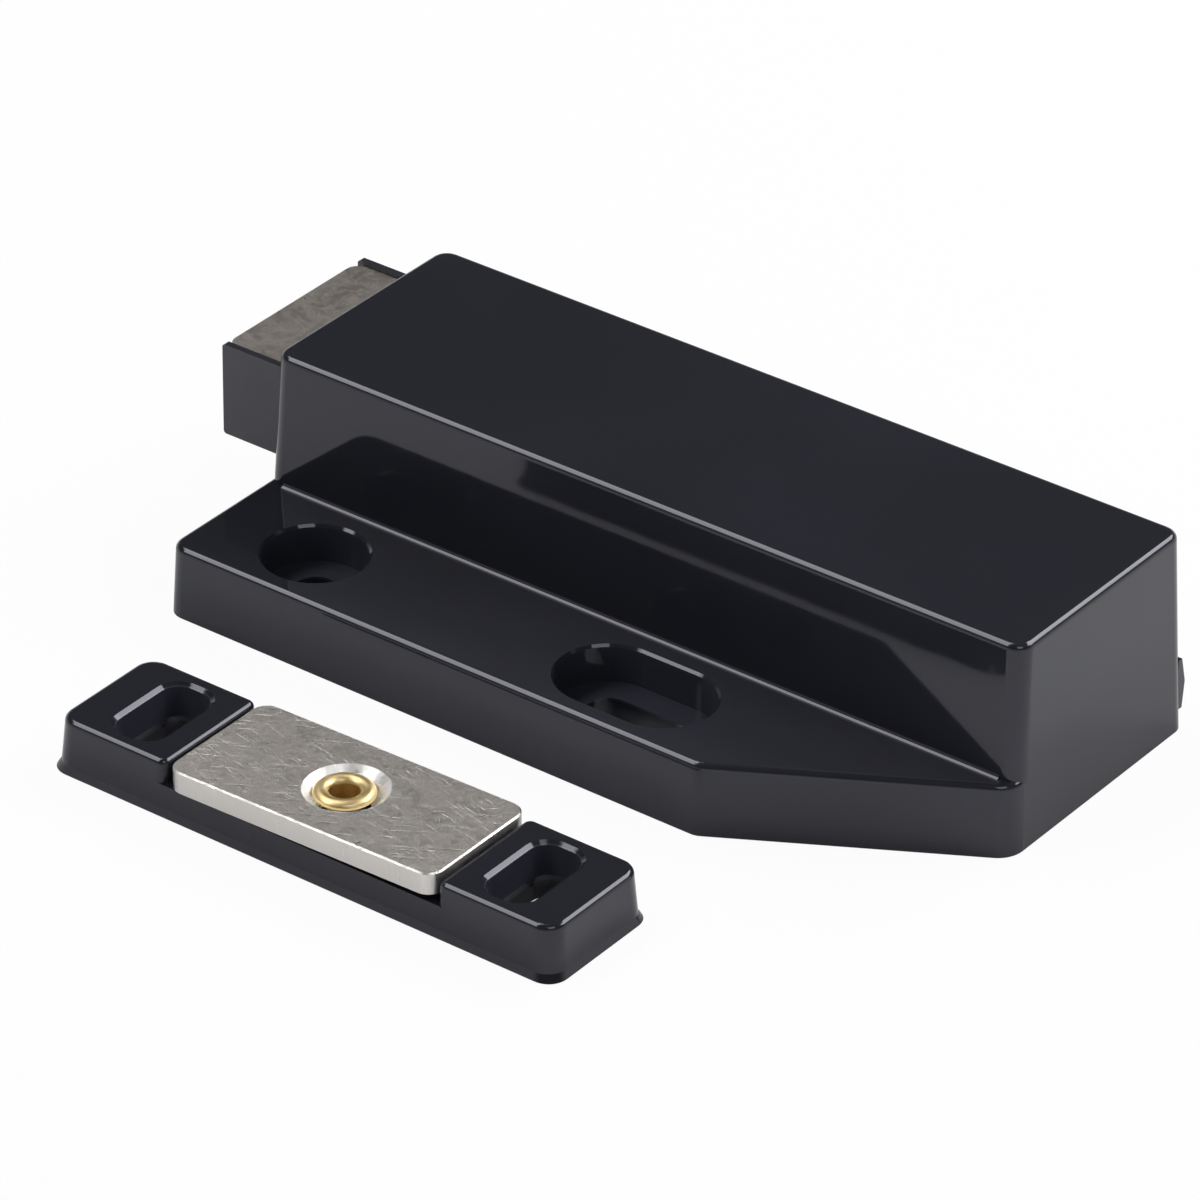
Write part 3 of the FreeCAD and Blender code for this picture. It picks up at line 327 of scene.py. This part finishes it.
# Base cover. A flat moulding pressed into the housing's underside, with rails and posts
# that guide the plunger. The same plastic, but duller, because its tool faces are milled.
COVER_BLACK = (0.0180, 0.0185, 0.0240, 1.0)
COVER_SMEAR = (0.0220, 0.0225, 0.0290, 1.0)
cover_plastic = moulded_plastic("cover_plastic_finish", COVER_BLACK, COVER_SMEAR,
                                gloss=0.25, haze=0.8, specks=0.3, ripple=1.0)
finish_node("base_cover", cover_plastic)


# Plunger carrier. The sliding moulding of the same plastic that holds the magnet and the
# pole plates. Its thin side walls show at the mouth, with softly rounded tips.
CARRIER_BLACK = (0.0180, 0.0185, 0.0250, 1.0)
CARRIER_SMEAR = (0.0210, 0.0216, 0.0290, 1.0)
carrier_plastic = moulded_plastic("carrier_plastic_finish", CARRIER_BLACK, CARRIER_SMEAR,
                                  gloss=0.09, haze=0.4, specks=0.8, ripple=0.9)
finish_node("plunger_carrier", carrier_plastic)


# Pole plates. Two stamped strips of bare cold-rolled steel, pushed into the carrier above
# and below the magnet: warm grey and mottled, with light sheared edges.
POLE_GREY = (0.42, 0.383, 0.350, 1.0)
POLE_DARK = (0.335, 0.303, 0.276, 1.0)
POLE_SHEARED = (0.60, 0.58, 0.55, 1.0)
NICK_BRIGHT = (0.82, 0.80, 0.77, 1.0)
PIT_DARK = (0.12, 0.11, 0.10, 1.0)
MOTTLE_SCALE = 1100.0
PATCH_SCALE = 330.0
PIT_SCALE = 1500.0
SCRATCH_RUNS = (   # direction, length against width, cells in a metre
    (0.5, 16.0, 260.0), (2.3, 22.0, 330.0), (1.2, 26.0, 210.0), (2.9, 18.0, 300.0))
SCRATCH_POLISH = 0.12
STEEL_RELIEF = 0.05 * MM
STEEL_RELIEF_STRENGTH = 0.6


def rolled_steel_group():
    """Rolled steel: mottled greys, dark pits, and short thin scratches in all directions."""
    group, entry, leave = new_group(
        "rolled_steel",
        [("Vector", "NodeSocketVector", (0, 0, 0)),
         ("Light", "NodeSocketColor", POLE_GREY),
         ("Dark", "NodeSocketColor", POLE_DARK),
         ("Dullness", "NodeSocketFloat", 0.4),
         ("Scratches", "NodeSocketFloat", 0.4)],
        [("Colour", "NodeSocketColor"), ("Roughness", "NodeSocketFloat"),
         ("Normal", "NodeSocketVector")])
    vector = entry.outputs["Vector"]
    mottle = noise(group, -900, 300, MOTTLE_SCALE, 5.0, vector, 0.7)
    patches = noise(group, -900, 100, PATCH_SCALE, 4.0, vector, 0.6)
    mix = arithmetic(group, -700, 200, "ADD",
                     arithmetic(group, -800, 250, "MULTIPLY", mottle, 0.6),
                     arithmetic(group, -800, 120, "MULTIPLY", patches, 0.4))
    tone = band(group, -500, 200, mix, 0.42, 0.58)
    lines = None
    for index, (turn, narrow, scale) in enumerate(SCRATCH_RUNS):
        turned = add_node(group, "ShaderNodeMapping", -1000, -200 - 300 * index,
                          vector_type="TEXTURE")
        turned.inputs["Rotation"].default_value = (0.0, 0.0, turn)
        turned.inputs["Scale"].default_value = (1.0, 1.0 / narrow, 1.0)
        group.links.new(vector, turned.inputs["Vector"])
        streak = noise(group, -800, -200 - 300 * index, scale, 1.0,
                       turned.outputs["Vector"], 0.4)
        streak = band(group, -600, -200 - 300 * index, streak, 0.66, 0.74)
        lines = streak if lines is None else arithmetic(group, -400, -300 * index,
                                                        "MAXIMUM", lines, streak)
    lines = arithmetic(group, -200, -300, "MULTIPLY", lines, entry.outputs["Scratches"])
    pits = noise(group, -700, 500, PIT_SCALE, 2.0, vector)
    pits = band(group, -500, 500, pits, 0.72, 0.78)
    colour = blend_colour(group, 0, 300, tone, entry.outputs["Dark"], entry.outputs["Light"])
    colour = blend_colour(group, 200, 300, lines, colour, NICK_BRIGHT)
    colour = blend_colour(group, 400, 300, pits, colour, PIT_DARK)
    rough = arithmetic(group, 0, 0, "ADD", entry.outputs["Dullness"],
                       band(group, -200, 0, tone, 0.0, 1.0, 0.07, -0.07))
    rough = arithmetic(group, 200, 0, "SUBTRACT", rough,
                       arithmetic(group, 0, -150, "MULTIPLY", lines, SCRATCH_POLISH))
    height = arithmetic(group, 200, -400, "SUBTRACT", mottle,
                        arithmetic(group, 0, -400, "ADD", lines, pits))
    group.links.new(colour, leave.inputs["Colour"])
    group.links.new(rough, leave.inputs["Roughness"])
    bumpy = relief(group, 400, -400, height, STEEL_RELIEF_STRENGTH, STEEL_RELIEF)
    group.links.new(bumpy, leave.inputs["Normal"])
    return group


rolled_steel = rolled_steel_group()


def steel(name, light, dark, dullness, scratches, edge_light):
    """Bare steel whose sheared sides are lighter than its rolled faces."""
    material, tree, shader, place = new_material(name)
    skin = add_node(tree, "ShaderNodeGroup", 0, 0)
    skin.node_tree = rolled_steel
    for label, setting in (("Light", light), ("Dark", dark), ("Dullness", dullness),
                           ("Scratches", scratches)):
        skin.inputs[label].default_value = setting
    tree.links.new(place.outputs["Object"], skin.inputs["Vector"])
    facing = add_node(tree, "ShaderNodeSeparateXYZ", -1000, 500)
    tree.links.new(place.outputs["Normal"], facing.inputs[0])
    flat = arithmetic(tree, -800, 500, "ABSOLUTE", facing.outputs["Z"])
    side = band(tree, -600, 500, flat, 0.98, 0.6)
    colour = blend_colour(tree, 300, 200, side, skin.outputs["Colour"], edge_light)
    tree.links.new(colour, shader.inputs["Base Color"])
    tree.links.new(skin.outputs["Roughness"], shader.inputs["Roughness"])
    tree.links.new(skin.outputs["Normal"], shader.inputs["Normal"])
    shader.inputs["Metallic"].default_value = 1.0
    return material, tree, shader, place


pole_steel = steel("pole_steel_finish", POLE_GREY, POLE_DARK, dullness=0.42,
                   scratches=0.12, edge_light=POLE_SHEARED)[0]
finish_node("upper_pole_plate", pole_steel)
finish_node("lower_pole_plate", pole_steel)


# Magnet. A pressed and sintered ferrite block in the carrier's pocket, held between the
# pole plates: dull charcoal grey with a fine sandy grain.
FERRITE_DARK = (0.022, 0.022, 0.024, 1.0)
FERRITE_PALE = (0.055, 0.055, 0.058, 1.0)
SAND_SCALE = 1400.0
SAND_RELIEF = 0.05 * MM
SAND_RELIEF_STRENGTH = 0.6
ferrite, ferrite_tree, ferrite_shader, ferrite_place = new_material("ferrite_finish")
sand = noise(ferrite_tree, -900, 0, SAND_SCALE, 4.0, ferrite_place.outputs["Object"], 0.7)
ferrite_tone = blend_colour(ferrite_tree, -300, 100,
                            band(ferrite_tree, -600, 100, sand, 0.35, 0.65),
                            FERRITE_DARK, FERRITE_PALE)
ferrite_tree.links.new(ferrite_tone, ferrite_shader.inputs["Base Color"])
ferrite_tree.links.new(band(ferrite_tree, -300, -100, sand, 0.3, 0.7, 0.5, 0.7),
                       ferrite_shader.inputs["Roughness"])
sandy = relief(ferrite_tree, 200, -300, sand, SAND_RELIEF_STRENGTH, SAND_RELIEF)
ferrite_tree.links.new(sandy, ferrite_shader.inputs["Normal"])
finish_node("magnet", ferrite)


# Ejector spring. Bright drawn wire wound round two spigots, with the last turn at each end
# closed up so that it stands square on its seat. It pushes the plunger out of the housing.
SPRING_TURNS = 12
SPRING_COIL_RADIUS = 3.15 * MM
SPRING_WIRE_RADIUS = 0.35 * MM
SPRING_SEAT_GAP = 0.05 * MM
SPRING_PLACE = 39.2 * MM   # between its seats, with the plunger latched
MAGNET_GAP = 0.05 * MM
CARRIER_BLOCK = 9.2 * MM   # solid part of the carrier between the magnet and the spring
CLOSED_TURNS = 1.1
CLOSED_PITCH = 2.04        # in wire radii, for turns that just don't touch
POINTS_PER_TURN = 28
WIRE_SIDES = 12
WIRE_GREY = (0.42, 0.42, 0.41, 1.0)
WIRE_DARK = (0.30, 0.30, 0.29, 1.0)
spring_low, spring_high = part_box("ejector_spring")
carrier_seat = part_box("magnet")[1][0] + CARRIER_BLOCK + MAGNET_GAP
housing_seat = carrier_seat + SPRING_PLACE
spring_axis = [(spring_low[side] + spring_high[side]) / 2 for side in (1, 2)]


def coil_spring_tree():
    """Nodes for a wire coil along X with closed ends, from inputs that are named sizes."""
    tree = bpy.data.node_groups.new("coil_spring", "GeometryNodeTree")
    sockets = {}
    for label, kind, default in (
            ("Turns", "NodeSocketFloat", 12.0), ("Coil Radius", "NodeSocketFloat", 0.003),
            ("Wire Radius", "NodeSocketFloat", 0.0004), ("Length", "NodeSocketFloat", 0.04),
            ("Closed Turns", "NodeSocketFloat", 1.0),
            ("Start", "NodeSocketVector", (0.0, 0.0, 0.0)),
            ("Material", "NodeSocketMaterial", None)):
        socket = tree.interface.new_socket(label, in_out="INPUT", socket_type=kind)
        if default is not None:
            socket.default_value = default
        sockets[label] = socket.identifier
    tree.interface.new_socket("Geometry", in_out="OUTPUT", socket_type="NodeSocketGeometry")
    entry = add_node(tree, "NodeGroupInput", -1400, 0)
    leave = add_node(tree, "NodeGroupOutput", 1600, 0)
    line = add_node(tree, "GeometryNodeCurvePrimitiveLine", -1000, 300)
    dense = add_node(tree, "GeometryNodeResampleCurve", -800, 300)
    dense.inputs["Count"].default_value = SPRING_TURNS * POINTS_PER_TURN + 1
    tree.links.new(line.outputs["Curve"], dense.inputs["Curve"])
    along = add_node(tree, "GeometryNodeSplineParameter", -1000, -200)
    turn = arithmetic(tree, -700, -200, "MULTIPLY", along.outputs["Factor"],
                      entry.outputs["Turns"])
    angle = arithmetic(tree, -500, -200, "MULTIPLY", turn, math.tau)
    close_pitch = arithmetic(tree, -700, -600, "MULTIPLY", entry.outputs["Wire Radius"],
                             CLOSED_PITCH)
    closed = arithmetic(tree, -500, -600, "MULTIPLY", close_pitch,
                        entry.outputs["Closed Turns"])
    last_start = arithmetic(tree, -700, -800, "SUBTRACT", entry.outputs["Turns"],
                            entry.outputs["Closed Turns"])
    open_length = arithmetic(tree, -300, -700, "SUBTRACT", entry.outputs["Length"],
                             arithmetic(tree, -500, -750, "MULTIPLY", closed, 2.0))
    reach = None
    for index, (begin, end, gain) in enumerate((
            (0.0, entry.outputs["Closed Turns"], closed),
            (entry.outputs["Closed Turns"], last_start, open_length),
            (last_start, entry.outputs["Turns"], closed))):
        step = add_node(tree, "ShaderNodeMapRange", -100, -400 - 300 * index)
        for label, item in (("From Min", begin), ("From Max", end), ("To Max", gain)):
            if isinstance(item, float):
                step.inputs[label].default_value = item
            else:
                tree.links.new(item, step.inputs[label])
        tree.links.new(turn, step.inputs["Value"])
        reach = step.outputs["Result"] if reach is None else arithmetic(
            tree, 100, -400 - 300 * index, "ADD", reach, step.outputs["Result"])
    spot = add_node(tree, "ShaderNodeCombineXYZ", 400, -200)
    tree.links.new(reach, spot.inputs["X"])
    for axis, operation in (("Y", "COSINE"), ("Z", "SINE")):
        swing = arithmetic(tree, 0, -100, operation, angle)
        tree.links.new(arithmetic(tree, 200, -100, "MULTIPLY", swing,
                                  entry.outputs["Coil Radius"]), spot.inputs[axis])
    shifted = add_node(tree, "ShaderNodeVectorMath", 600, -200, operation="ADD")
    tree.links.new(spot.outputs[0], shifted.inputs[0])
    tree.links.new(entry.outputs["Start"], shifted.inputs[1])
    wound = add_node(tree, "GeometryNodeSetPosition", 700, 300)
    tree.links.new(dense.outputs["Curve"], wound.inputs["Geometry"])
    tree.links.new(shifted.outputs[0], wound.inputs["Position"])
    ring = add_node(tree, "GeometryNodeCurvePrimitiveCircle", 700, 0)
    ring.inputs["Resolution"].default_value = WIRE_SIDES
    tree.links.new(entry.outputs["Wire Radius"], ring.inputs["Radius"])
    wire = add_node(tree, "GeometryNodeCurveToMesh", 900, 300)
    wire.inputs["Fill Caps"].default_value = True
    tree.links.new(wound.outputs["Geometry"], wire.inputs["Curve"])
    tree.links.new(ring.outputs["Curve"], wire.inputs["Profile Curve"])
    smooth = add_node(tree, "GeometryNodeSetShadeSmooth", 1050, 300)
    tree.links.new(wire.outputs["Mesh"], smooth.inputs["Geometry"])
    real = add_node(tree, "GeometryNodeRealizeInstances", 1200, 300)
    tree.links.new(smooth.outputs["Geometry"], real.inputs["Geometry"])
    coated = add_node(tree, "GeometryNodeSetMaterial", 1400, 300)
    tree.links.new(real.outputs["Geometry"], coated.inputs["Geometry"])
    tree.links.new(entry.outputs["Material"], coated.inputs["Material"])
    tree.links.new(coated.outputs["Geometry"], leave.inputs["Geometry"])
    return tree, sockets


wire_steel = steel("wire_steel_finish", WIRE_GREY, WIRE_DARK, dullness=0.3,
                   scratches=0.4, edge_light=WIRE_GREY)[0]
spring = put_in_scene("ejector_spring_coil", bpy.data.meshes.new("ejector_spring_coil"))
spring_tree, spring_sockets = coil_spring_tree()
winding = spring.modifiers.new("winding", "NODES")
winding.node_group = spring_tree
end_room = SPRING_SEAT_GAP + SPRING_WIRE_RADIUS
for label, setting in (
        ("Turns", float(SPRING_TURNS)), ("Coil Radius", SPRING_COIL_RADIUS),
        ("Wire Radius", SPRING_WIRE_RADIUS),
        ("Length", housing_seat - carrier_seat - 2 * end_room),
        ("Closed Turns", CLOSED_TURNS),
        ("Start", (carrier_seat + end_room, spring_axis[0], spring_axis[1])),
        ("Material", wire_steel)):
    winding[spring_sockets[label]] = setting
evaluated = spring.evaluated_get(bpy.context.evaluated_depsgraph_get())
wound_mesh = bpy.data.meshes.new_from_object(evaluated)
spring.modifiers.remove(winding)
spring.data = wound_mesh
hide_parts("ejector_spring")
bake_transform(spring)


# Latch wire. Bent from drawn steel wire like the spring's, but thicker. One end turns in
# the cover's boss, the other follows the heart-shaped track under the plunger.
finish_node("latch_wire", wire_steel)


# Strike base. A black moulded bar with a ledge for the plate, less polished than the
# housing. Screws through its two dished slots fix it to the door.
STRIKE_BLACK = (0.0145, 0.0152, 0.0210, 1.0)
STRIKE_SMEAR = (0.0175, 0.0182, 0.0245, 1.0)
DISH_REACH = (2.95 * MM, 5.30 * MM, 1.75 * MM)
STRIKE_DISHES = (((-27.95 * MM, -42.87 * MM, 3.6 * MM), DISH_REACH),
                 ((16.05 * MM, -42.87 * MM, 3.6 * MM), DISH_REACH))
strike_plastic = moulded_plastic("strike_plastic_finish", STRIKE_BLACK, STRIKE_SMEAR,
                                 gloss=0.09, haze=0.10, specks=1.0, ripple=0.8)
# The paler colour in the dished slots is painted light, standing in for the fill light that
# reaches them.
recesses_with_painted_light(strike_plastic, STRIKE_DISHES, RECESS_PAINTED_LIGHT)
finish_node("strike_base", strike_plastic)


# Strike plate. A stamped steel plate that rocks on the strike base and meets the magnet. It
# is paler than the pole plates, and its countersink is freshly turned bright metal.
STRIKE_LIGHT = (0.93, 0.875, 0.82, 1.0)
STRIKE_DARK = (0.50, 0.467, 0.433, 1.0)
STRIKE_SHEARED = (0.74, 0.715, 0.685, 1.0)
TURNED_BRIGHT = (0.95, 0.945, 0.93, 1.0)
TURNED_DULLING = 1.15
COUNTERSINK_RADIUS = 4.2 * MM
COUNTERSINK_EDGE = 0.12 * MM

strike_steel, strike_tree, strike_shader, strike_place = steel(
    "strike_steel_finish", STRIKE_LIGHT, STRIKE_DARK, dullness=0.38, scratches=0.5,
    edge_light=STRIKE_SHEARED)
plate_low, plate_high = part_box("strike_plate")
hole_centre = add_node(strike_tree, "ShaderNodeVectorMath", -1200, -600,
                       operation="SUBTRACT")
hole_centre.inputs[1].default_value = ((plate_low[0] + plate_high[0]) / 2,
                                       (plate_low[1] + plate_high[1]) / 2, 0.0)
strike_tree.links.new(strike_place.outputs["Object"], hole_centre.inputs[0])
in_plan = add_node(strike_tree, "ShaderNodeVectorMath", -1000, -600, operation="MULTIPLY")
in_plan.inputs[1].default_value = (1.0, 1.0, 0.0)
strike_tree.links.new(hole_centre.outputs[0], in_plan.inputs[0])
reach_out = add_node(strike_tree, "ShaderNodeVectorMath", -800, -600, operation="LENGTH")
strike_tree.links.new(in_plan.outputs[0], reach_out.inputs[0])
turned_zone = band(strike_tree, -600, -600, reach_out.outputs["Value"],
                   COUNTERSINK_RADIUS + COUNTERSINK_EDGE, COUNTERSINK_RADIUS)
rolled_colour = strike_shader.inputs["Base Color"].links[0].from_socket
strike_tree.links.new(blend_colour(strike_tree, 450, 250, turned_zone, rolled_colour,
                                   TURNED_BRIGHT), strike_shader.inputs["Base Color"])
rolled_dullness = strike_shader.inputs["Roughness"].links[0].from_socket
dulling = band(strike_tree, 0, -300, turned_zone, 0.0, 1.0, 1.0, TURNED_DULLING)
turned_dullness = arithmetic(strike_tree, 200, -300, "MULTIPLY", rolled_dullness, dulling)
strike_tree.links.new(turned_dullness, strike_shader.inputs["Roughness"])
finish_node("strike_plate", strike_steel)


# Eyelet. A drawn brass tube rolled over in the plate's countersink and under the base, which
# holds the plate and lets it rock. One closed profile turned round the hole's middle.
BRASS_DEEP = (0.74, 0.55, 0.26, 1.0)
BRASS_PALE = (0.84, 0.67, 0.36, 1.0)
BRASS_SCALE = 700.0
BRASS_DULLNESS = (0.36, 0.46)
EYELET_BORE = 2.9 * MM
EYELET_SHANK = 3.9 * MM
EYELET_TAIL = 5.8 * MM
TAIL_THICKNESS = 0.7 * MM
TAIL_CHAMFER = 0.15 * MM
ROLL_HEIGHT = 0.6 * MM
ROLL_THROAT = 1.15 * MM
ROLL_START = math.radians(-5)
ROLL_SWEEP = math.radians(185)
ROLL_STEPS = 18
ROUND_STEPS = 72
SHARP_EDGE = math.radians(35)

brass, brass_tree, brass_shader, brass_place = new_material("eyelet_brass_finish")
brass_cloud = noise(brass_tree, -900, 0, BRASS_SCALE, 3.0, brass_place.outputs["Object"])
brass_tone = blend_colour(brass_tree, -300, 100,
                          band(brass_tree, -600, 100, brass_cloud, 0.35, 0.65),
                          BRASS_DEEP, BRASS_PALE)
brass_tree.links.new(brass_tone, brass_shader.inputs["Base Color"])
brass_dullness = band(brass_tree, -300, -100, brass_cloud, 0.3, 0.7, *BRASS_DULLNESS)
brass_tree.links.new(brass_dullness, brass_shader.inputs["Roughness"])
brass_shader.inputs["Metallic"].default_value = 1.0

eyelet_low, eyelet_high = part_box("strike_eyelet")
eyelet_centre = [(eyelet_low[side] + eyelet_high[side]) / 2 for side in (0, 1)]
roll_outer = (eyelet_high[0] - eyelet_low[0]) / 2
roll_radius = (roll_outer - EYELET_BORE / 2) / 2
roll_middle = (EYELET_BORE / 2 + roll_radius, eyelet_high[2] - ROLL_HEIGHT)
profile = [(EYELET_SHANK / 2, eyelet_high[2] - ROLL_THROAT)]
for step in range(ROLL_STEPS + 1):
    turn = ROLL_START + ROLL_SWEEP * step / ROLL_STEPS
    profile.append((roll_middle[0] + roll_radius * math.cos(turn),
                    roll_middle[1] + ROLL_HEIGHT * math.sin(turn)))
profile += [(EYELET_BORE / 2, eyelet_low[2]),
            (EYELET_TAIL / 2 - TAIL_CHAMFER, eyelet_low[2]),
            (EYELET_TAIL / 2, eyelet_low[2] + TAIL_CHAMFER),
            (EYELET_TAIL / 2, eyelet_low[2] + TAIL_THICKNESS),
            (EYELET_SHANK / 2, eyelet_low[2] + TAIL_THICKNESS)]
eyelet_points = []
eyelet_faces = []
for around in range(ROUND_STEPS):
    turn = math.tau * around / ROUND_STEPS
    for reach, height in profile:
        eyelet_points.append((eyelet_centre[0] + reach * math.cos(turn),
                              eyelet_centre[1] + reach * math.sin(turn), height))
    for spot in range(len(profile)):
        here = around * len(profile)
        there = (around + 1) % ROUND_STEPS * len(profile)
        after = (spot + 1) % len(profile)
        eyelet_faces.append((here + spot, there + spot, there + after, here + after))
eyelet_mesh = bpy.data.meshes.new("strike_eyelet_roll")
eyelet_mesh.from_pydata(eyelet_points, [], eyelet_faces)
eyelet_mesh.shade_smooth()
eyelet_mesh.set_sharp_from_angle(angle=SHARP_EDGE)
eyelet_mesh.materials.append(brass)
eyelet = put_in_scene("strike_eyelet_roll", eyelet_mesh)
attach(eyelet, "root")
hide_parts("strike_eyelet")


# Studio. A pale paper floor, white to the camera, with painted shade where glossy walls
# mirror it: darker close to the pieces and towards the front, brighter towards the rear. A
# large soft box behind the housing, a smaller one high in front of its right end, and a quiet
# dark room with one long soft light, which the roof mirrors.
FLOOR_SIZE = 6.0
FLOOR_DEPTH = 0.05 * MM
PAPER_WHITE = 0.8
CAMERA_WHITE = 0.95
MIRRORED_WHITE = 0.32
SHELTER_REACH = 25 * MM
SHELTER_SAMPLES = 8
SHADOW_OPENING = (0.08, 0.30)
NEAR_OPENING = (0.50, 1.0)
PAINTED_SHADOW_DARKEST = 0.14
GRADE_SLANT = 0.5
GRADE_FRONT = -48 * MM
GRADE_REAR = 10 * MM
GRADE_DIM = 0.62
GRADE_BRIGHT = 1.35
floor_mesh = bpy.data.meshes.new("floor")
half = FLOOR_SIZE / 2
floor_mesh.from_pydata([(-half, -half, -FLOOR_DEPTH), (half, -half, -FLOOR_DEPTH),
                        (half, half, -FLOOR_DEPTH), (-half, half, -FLOOR_DEPTH)],
                       [], [(0, 1, 2, 3)])
floor = put_in_scene("floor", floor_mesh)
floor_finish = bpy.data.materials.new("floor_finish")
floor_finish.use_nodes = True
floor_tree = floor_finish.node_tree
floor_tree.nodes.clear()
paper = add_node(floor_tree, "ShaderNodeBsdfDiffuse", 0, 100)
paper.inputs["Color"].default_value = (PAPER_WHITE, PAPER_WHITE, PAPER_WHITE, 1.0)
white = add_node(floor_tree, "ShaderNodeEmission", 0, -100)
white.inputs["Strength"].default_value = 1.0
path = add_node(floor_tree, "ShaderNodeLightPath", -600, 300)
seen = arithmetic(floor_tree, -400, 300, "MULTIPLY", path.outputs["Is Camera Ray"],
                  CAMERA_WHITE)
shiny = arithmetic(floor_tree, -400, 150, "MAXIMUM", path.outputs["Is Glossy Ray"],
                   path.outputs["Is Transmission Ray"])
shiny = arithmetic(floor_tree, -250, 150, "MULTIPLY", shiny, MIRRORED_WHITE)
# Where a piece shuts the paper in, it shows its own shade and not plain white.
shelter = add_node(floor_tree, "ShaderNodeAmbientOcclusion", -400, -100,
                   samples=SHELTER_SAMPLES)
shelter.inputs["Distance"].default_value = SHELTER_REACH
open_sky = band(floor_tree, -200, -100, shelter.outputs["AO"], *SHADOW_OPENING)
# Painted contact shadow: in glossy rays the paper darkens close to the pieces.
mirrored_painted_shadow = band(floor_tree, -200, -300, shelter.outputs["AO"], *NEAR_OPENING,
                 PAINTED_SHADOW_DARKEST, 1.0)
shiny = arithmetic(floor_tree, -150, 100, "MULTIPLY", shiny, mirrored_painted_shadow)
# Painted shade and light: in glossy rays the paper is dimmer towards the front and brighter
# towards the rear, standing in for the pieces' shadow and the light from behind.
floor_place = add_node(floor_tree, "ShaderNodeTexCoord", -1000, -500)
floor_split = add_node(floor_tree, "ShaderNodeSeparateXYZ", -800, -500)
floor_tree.links.new(floor_place.outputs["Object"], floor_split.inputs[0])
rearward = arithmetic(floor_tree, -600, -500, "SUBTRACT", floor_split.outputs["Y"],
                      arithmetic(floor_tree, -700, -600, "MULTIPLY",
                                 floor_split.outputs["X"], GRADE_SLANT))
painted_shade_grade = band(floor_tree, -400, -500, rearward, GRADE_FRONT, GRADE_REAR,
             GRADE_DIM, GRADE_BRIGHT)
shiny = arithmetic(floor_tree, -100, 50, "MULTIPLY", shiny, painted_shade_grade)
share = arithmetic(floor_tree, -100, 250, "MAXIMUM", seen, shiny)
share = arithmetic(floor_tree, 50, 250, "MULTIPLY", share, open_sky)
mixed = add_node(floor_tree, "ShaderNodeMixShader", 200, 0)
surface = add_node(floor_tree, "ShaderNodeOutputMaterial", 400, 0)
floor_tree.links.new(share, mixed.inputs[0])
floor_tree.links.new(paper.outputs[0], mixed.inputs[1])
floor_tree.links.new(white.outputs[0], mixed.inputs[2])
floor_tree.links.new(mixed.outputs[0], surface.inputs["Surface"])
floor_mesh.materials.append(floor_finish)


def soft_box(name, direction, distance, width, height, radiance):
    """A rectangular lamp that faces the object; radiance is what a mirror would show."""
    lamp = bpy.data.lights.new(name, "AREA")
    lamp.shape = "RECTANGLE"
    lamp.size = width
    lamp.size_y = height
    lamp.energy = radiance * math.pi * width * height
    holder = put_in_scene(name, lamp)
    towards = Vector(direction).normalized()
    holder.location = towards * distance
    holder.rotation_mode = "QUATERNION"
    holder.rotation_quaternion = towards.to_track_quat("Z", "Y")


soft_box("back_soft_box", (0.28, 0.66, 0.68), distance=0.70, width=0.62, height=0.30,
         radiance=6.3)
soft_box("top_soft_box", (0.50, -0.30, 0.81), distance=0.80, width=0.34, height=0.34,
         radiance=2.2)

# The long soft light is part of the room: a bright strip in the sky that keeps one distance
# from the left, from low in front to past the top.
ROOM_DARK = 0.065
ROOM_HORIZON = 1.0
HORIZON_BAND = (0.10, 0.36)
STRIP_RADIANCE = 6.0
STRIP_SIDE = 0.50
STRIP_FRONT = math.radians(41)
STRIP_BACK = math.radians(122)
STRIP_EDGES = (0.17, 0.10)
STRIP_FADE_IN = 0.1
STRIP_FADE_OUT = 0.2
world = bpy.data.worlds.new("studio")
bpy.context.scene.world = world
world.use_nodes = True
world_tree = world.node_tree
world_tree.nodes.clear()
sky_place = add_node(world_tree, "ShaderNodeTexCoord", -1200, 0)
sky_split = add_node(world_tree, "ShaderNodeSeparateXYZ", -1000, 0)
world_tree.links.new(sky_place.outputs["Generated"], sky_split.inputs[0])
sky_tone = band(world_tree, -400, 200, sky_split.outputs["Z"], *HORIZON_BAND,
                ROOM_HORIZON, ROOM_DARK)
aside = arithmetic(world_tree, -800, 0, "ABSOLUTE",
                   arithmetic(world_tree, -900, 0, "ADD", sky_split.outputs["X"], STRIP_SIDE))
strip = band(world_tree, -600, 0, aside, *STRIP_EDGES)
climb = arithmetic(world_tree, -800, -300, "ARCTAN2", sky_split.outputs["Z"],
                   arithmetic(world_tree, -900, -400, "MULTIPLY", sky_split.outputs["Y"],
                              -1.0))
strip = arithmetic(world_tree, -400, 0, "MULTIPLY", strip,
                   band(world_tree, -600, -300, climb, STRIP_FRONT,
                        STRIP_FRONT + STRIP_FADE_IN))
strip = arithmetic(world_tree, -400, -200, "MULTIPLY", strip,
                   band(world_tree, -600, -500, climb, STRIP_BACK,
                        STRIP_BACK - STRIP_FADE_OUT))
sky_tone = arithmetic(world_tree, -200, 0, "ADD", sky_tone,
                      arithmetic(world_tree, -300, -100, "MULTIPLY", strip, STRIP_RADIANCE))
sky = add_node(world_tree, "ShaderNodeBackground", 0, 0)
world_tree.links.new(sky_tone, sky.inputs["Strength"])
sky_out = add_node(world_tree, "ShaderNodeOutputWorld", 200, 0)
world_tree.links.new(sky.outputs[0], sky_out.inputs["Surface"])

bpy.context.scene.view_settings.view_transform = "Standard"
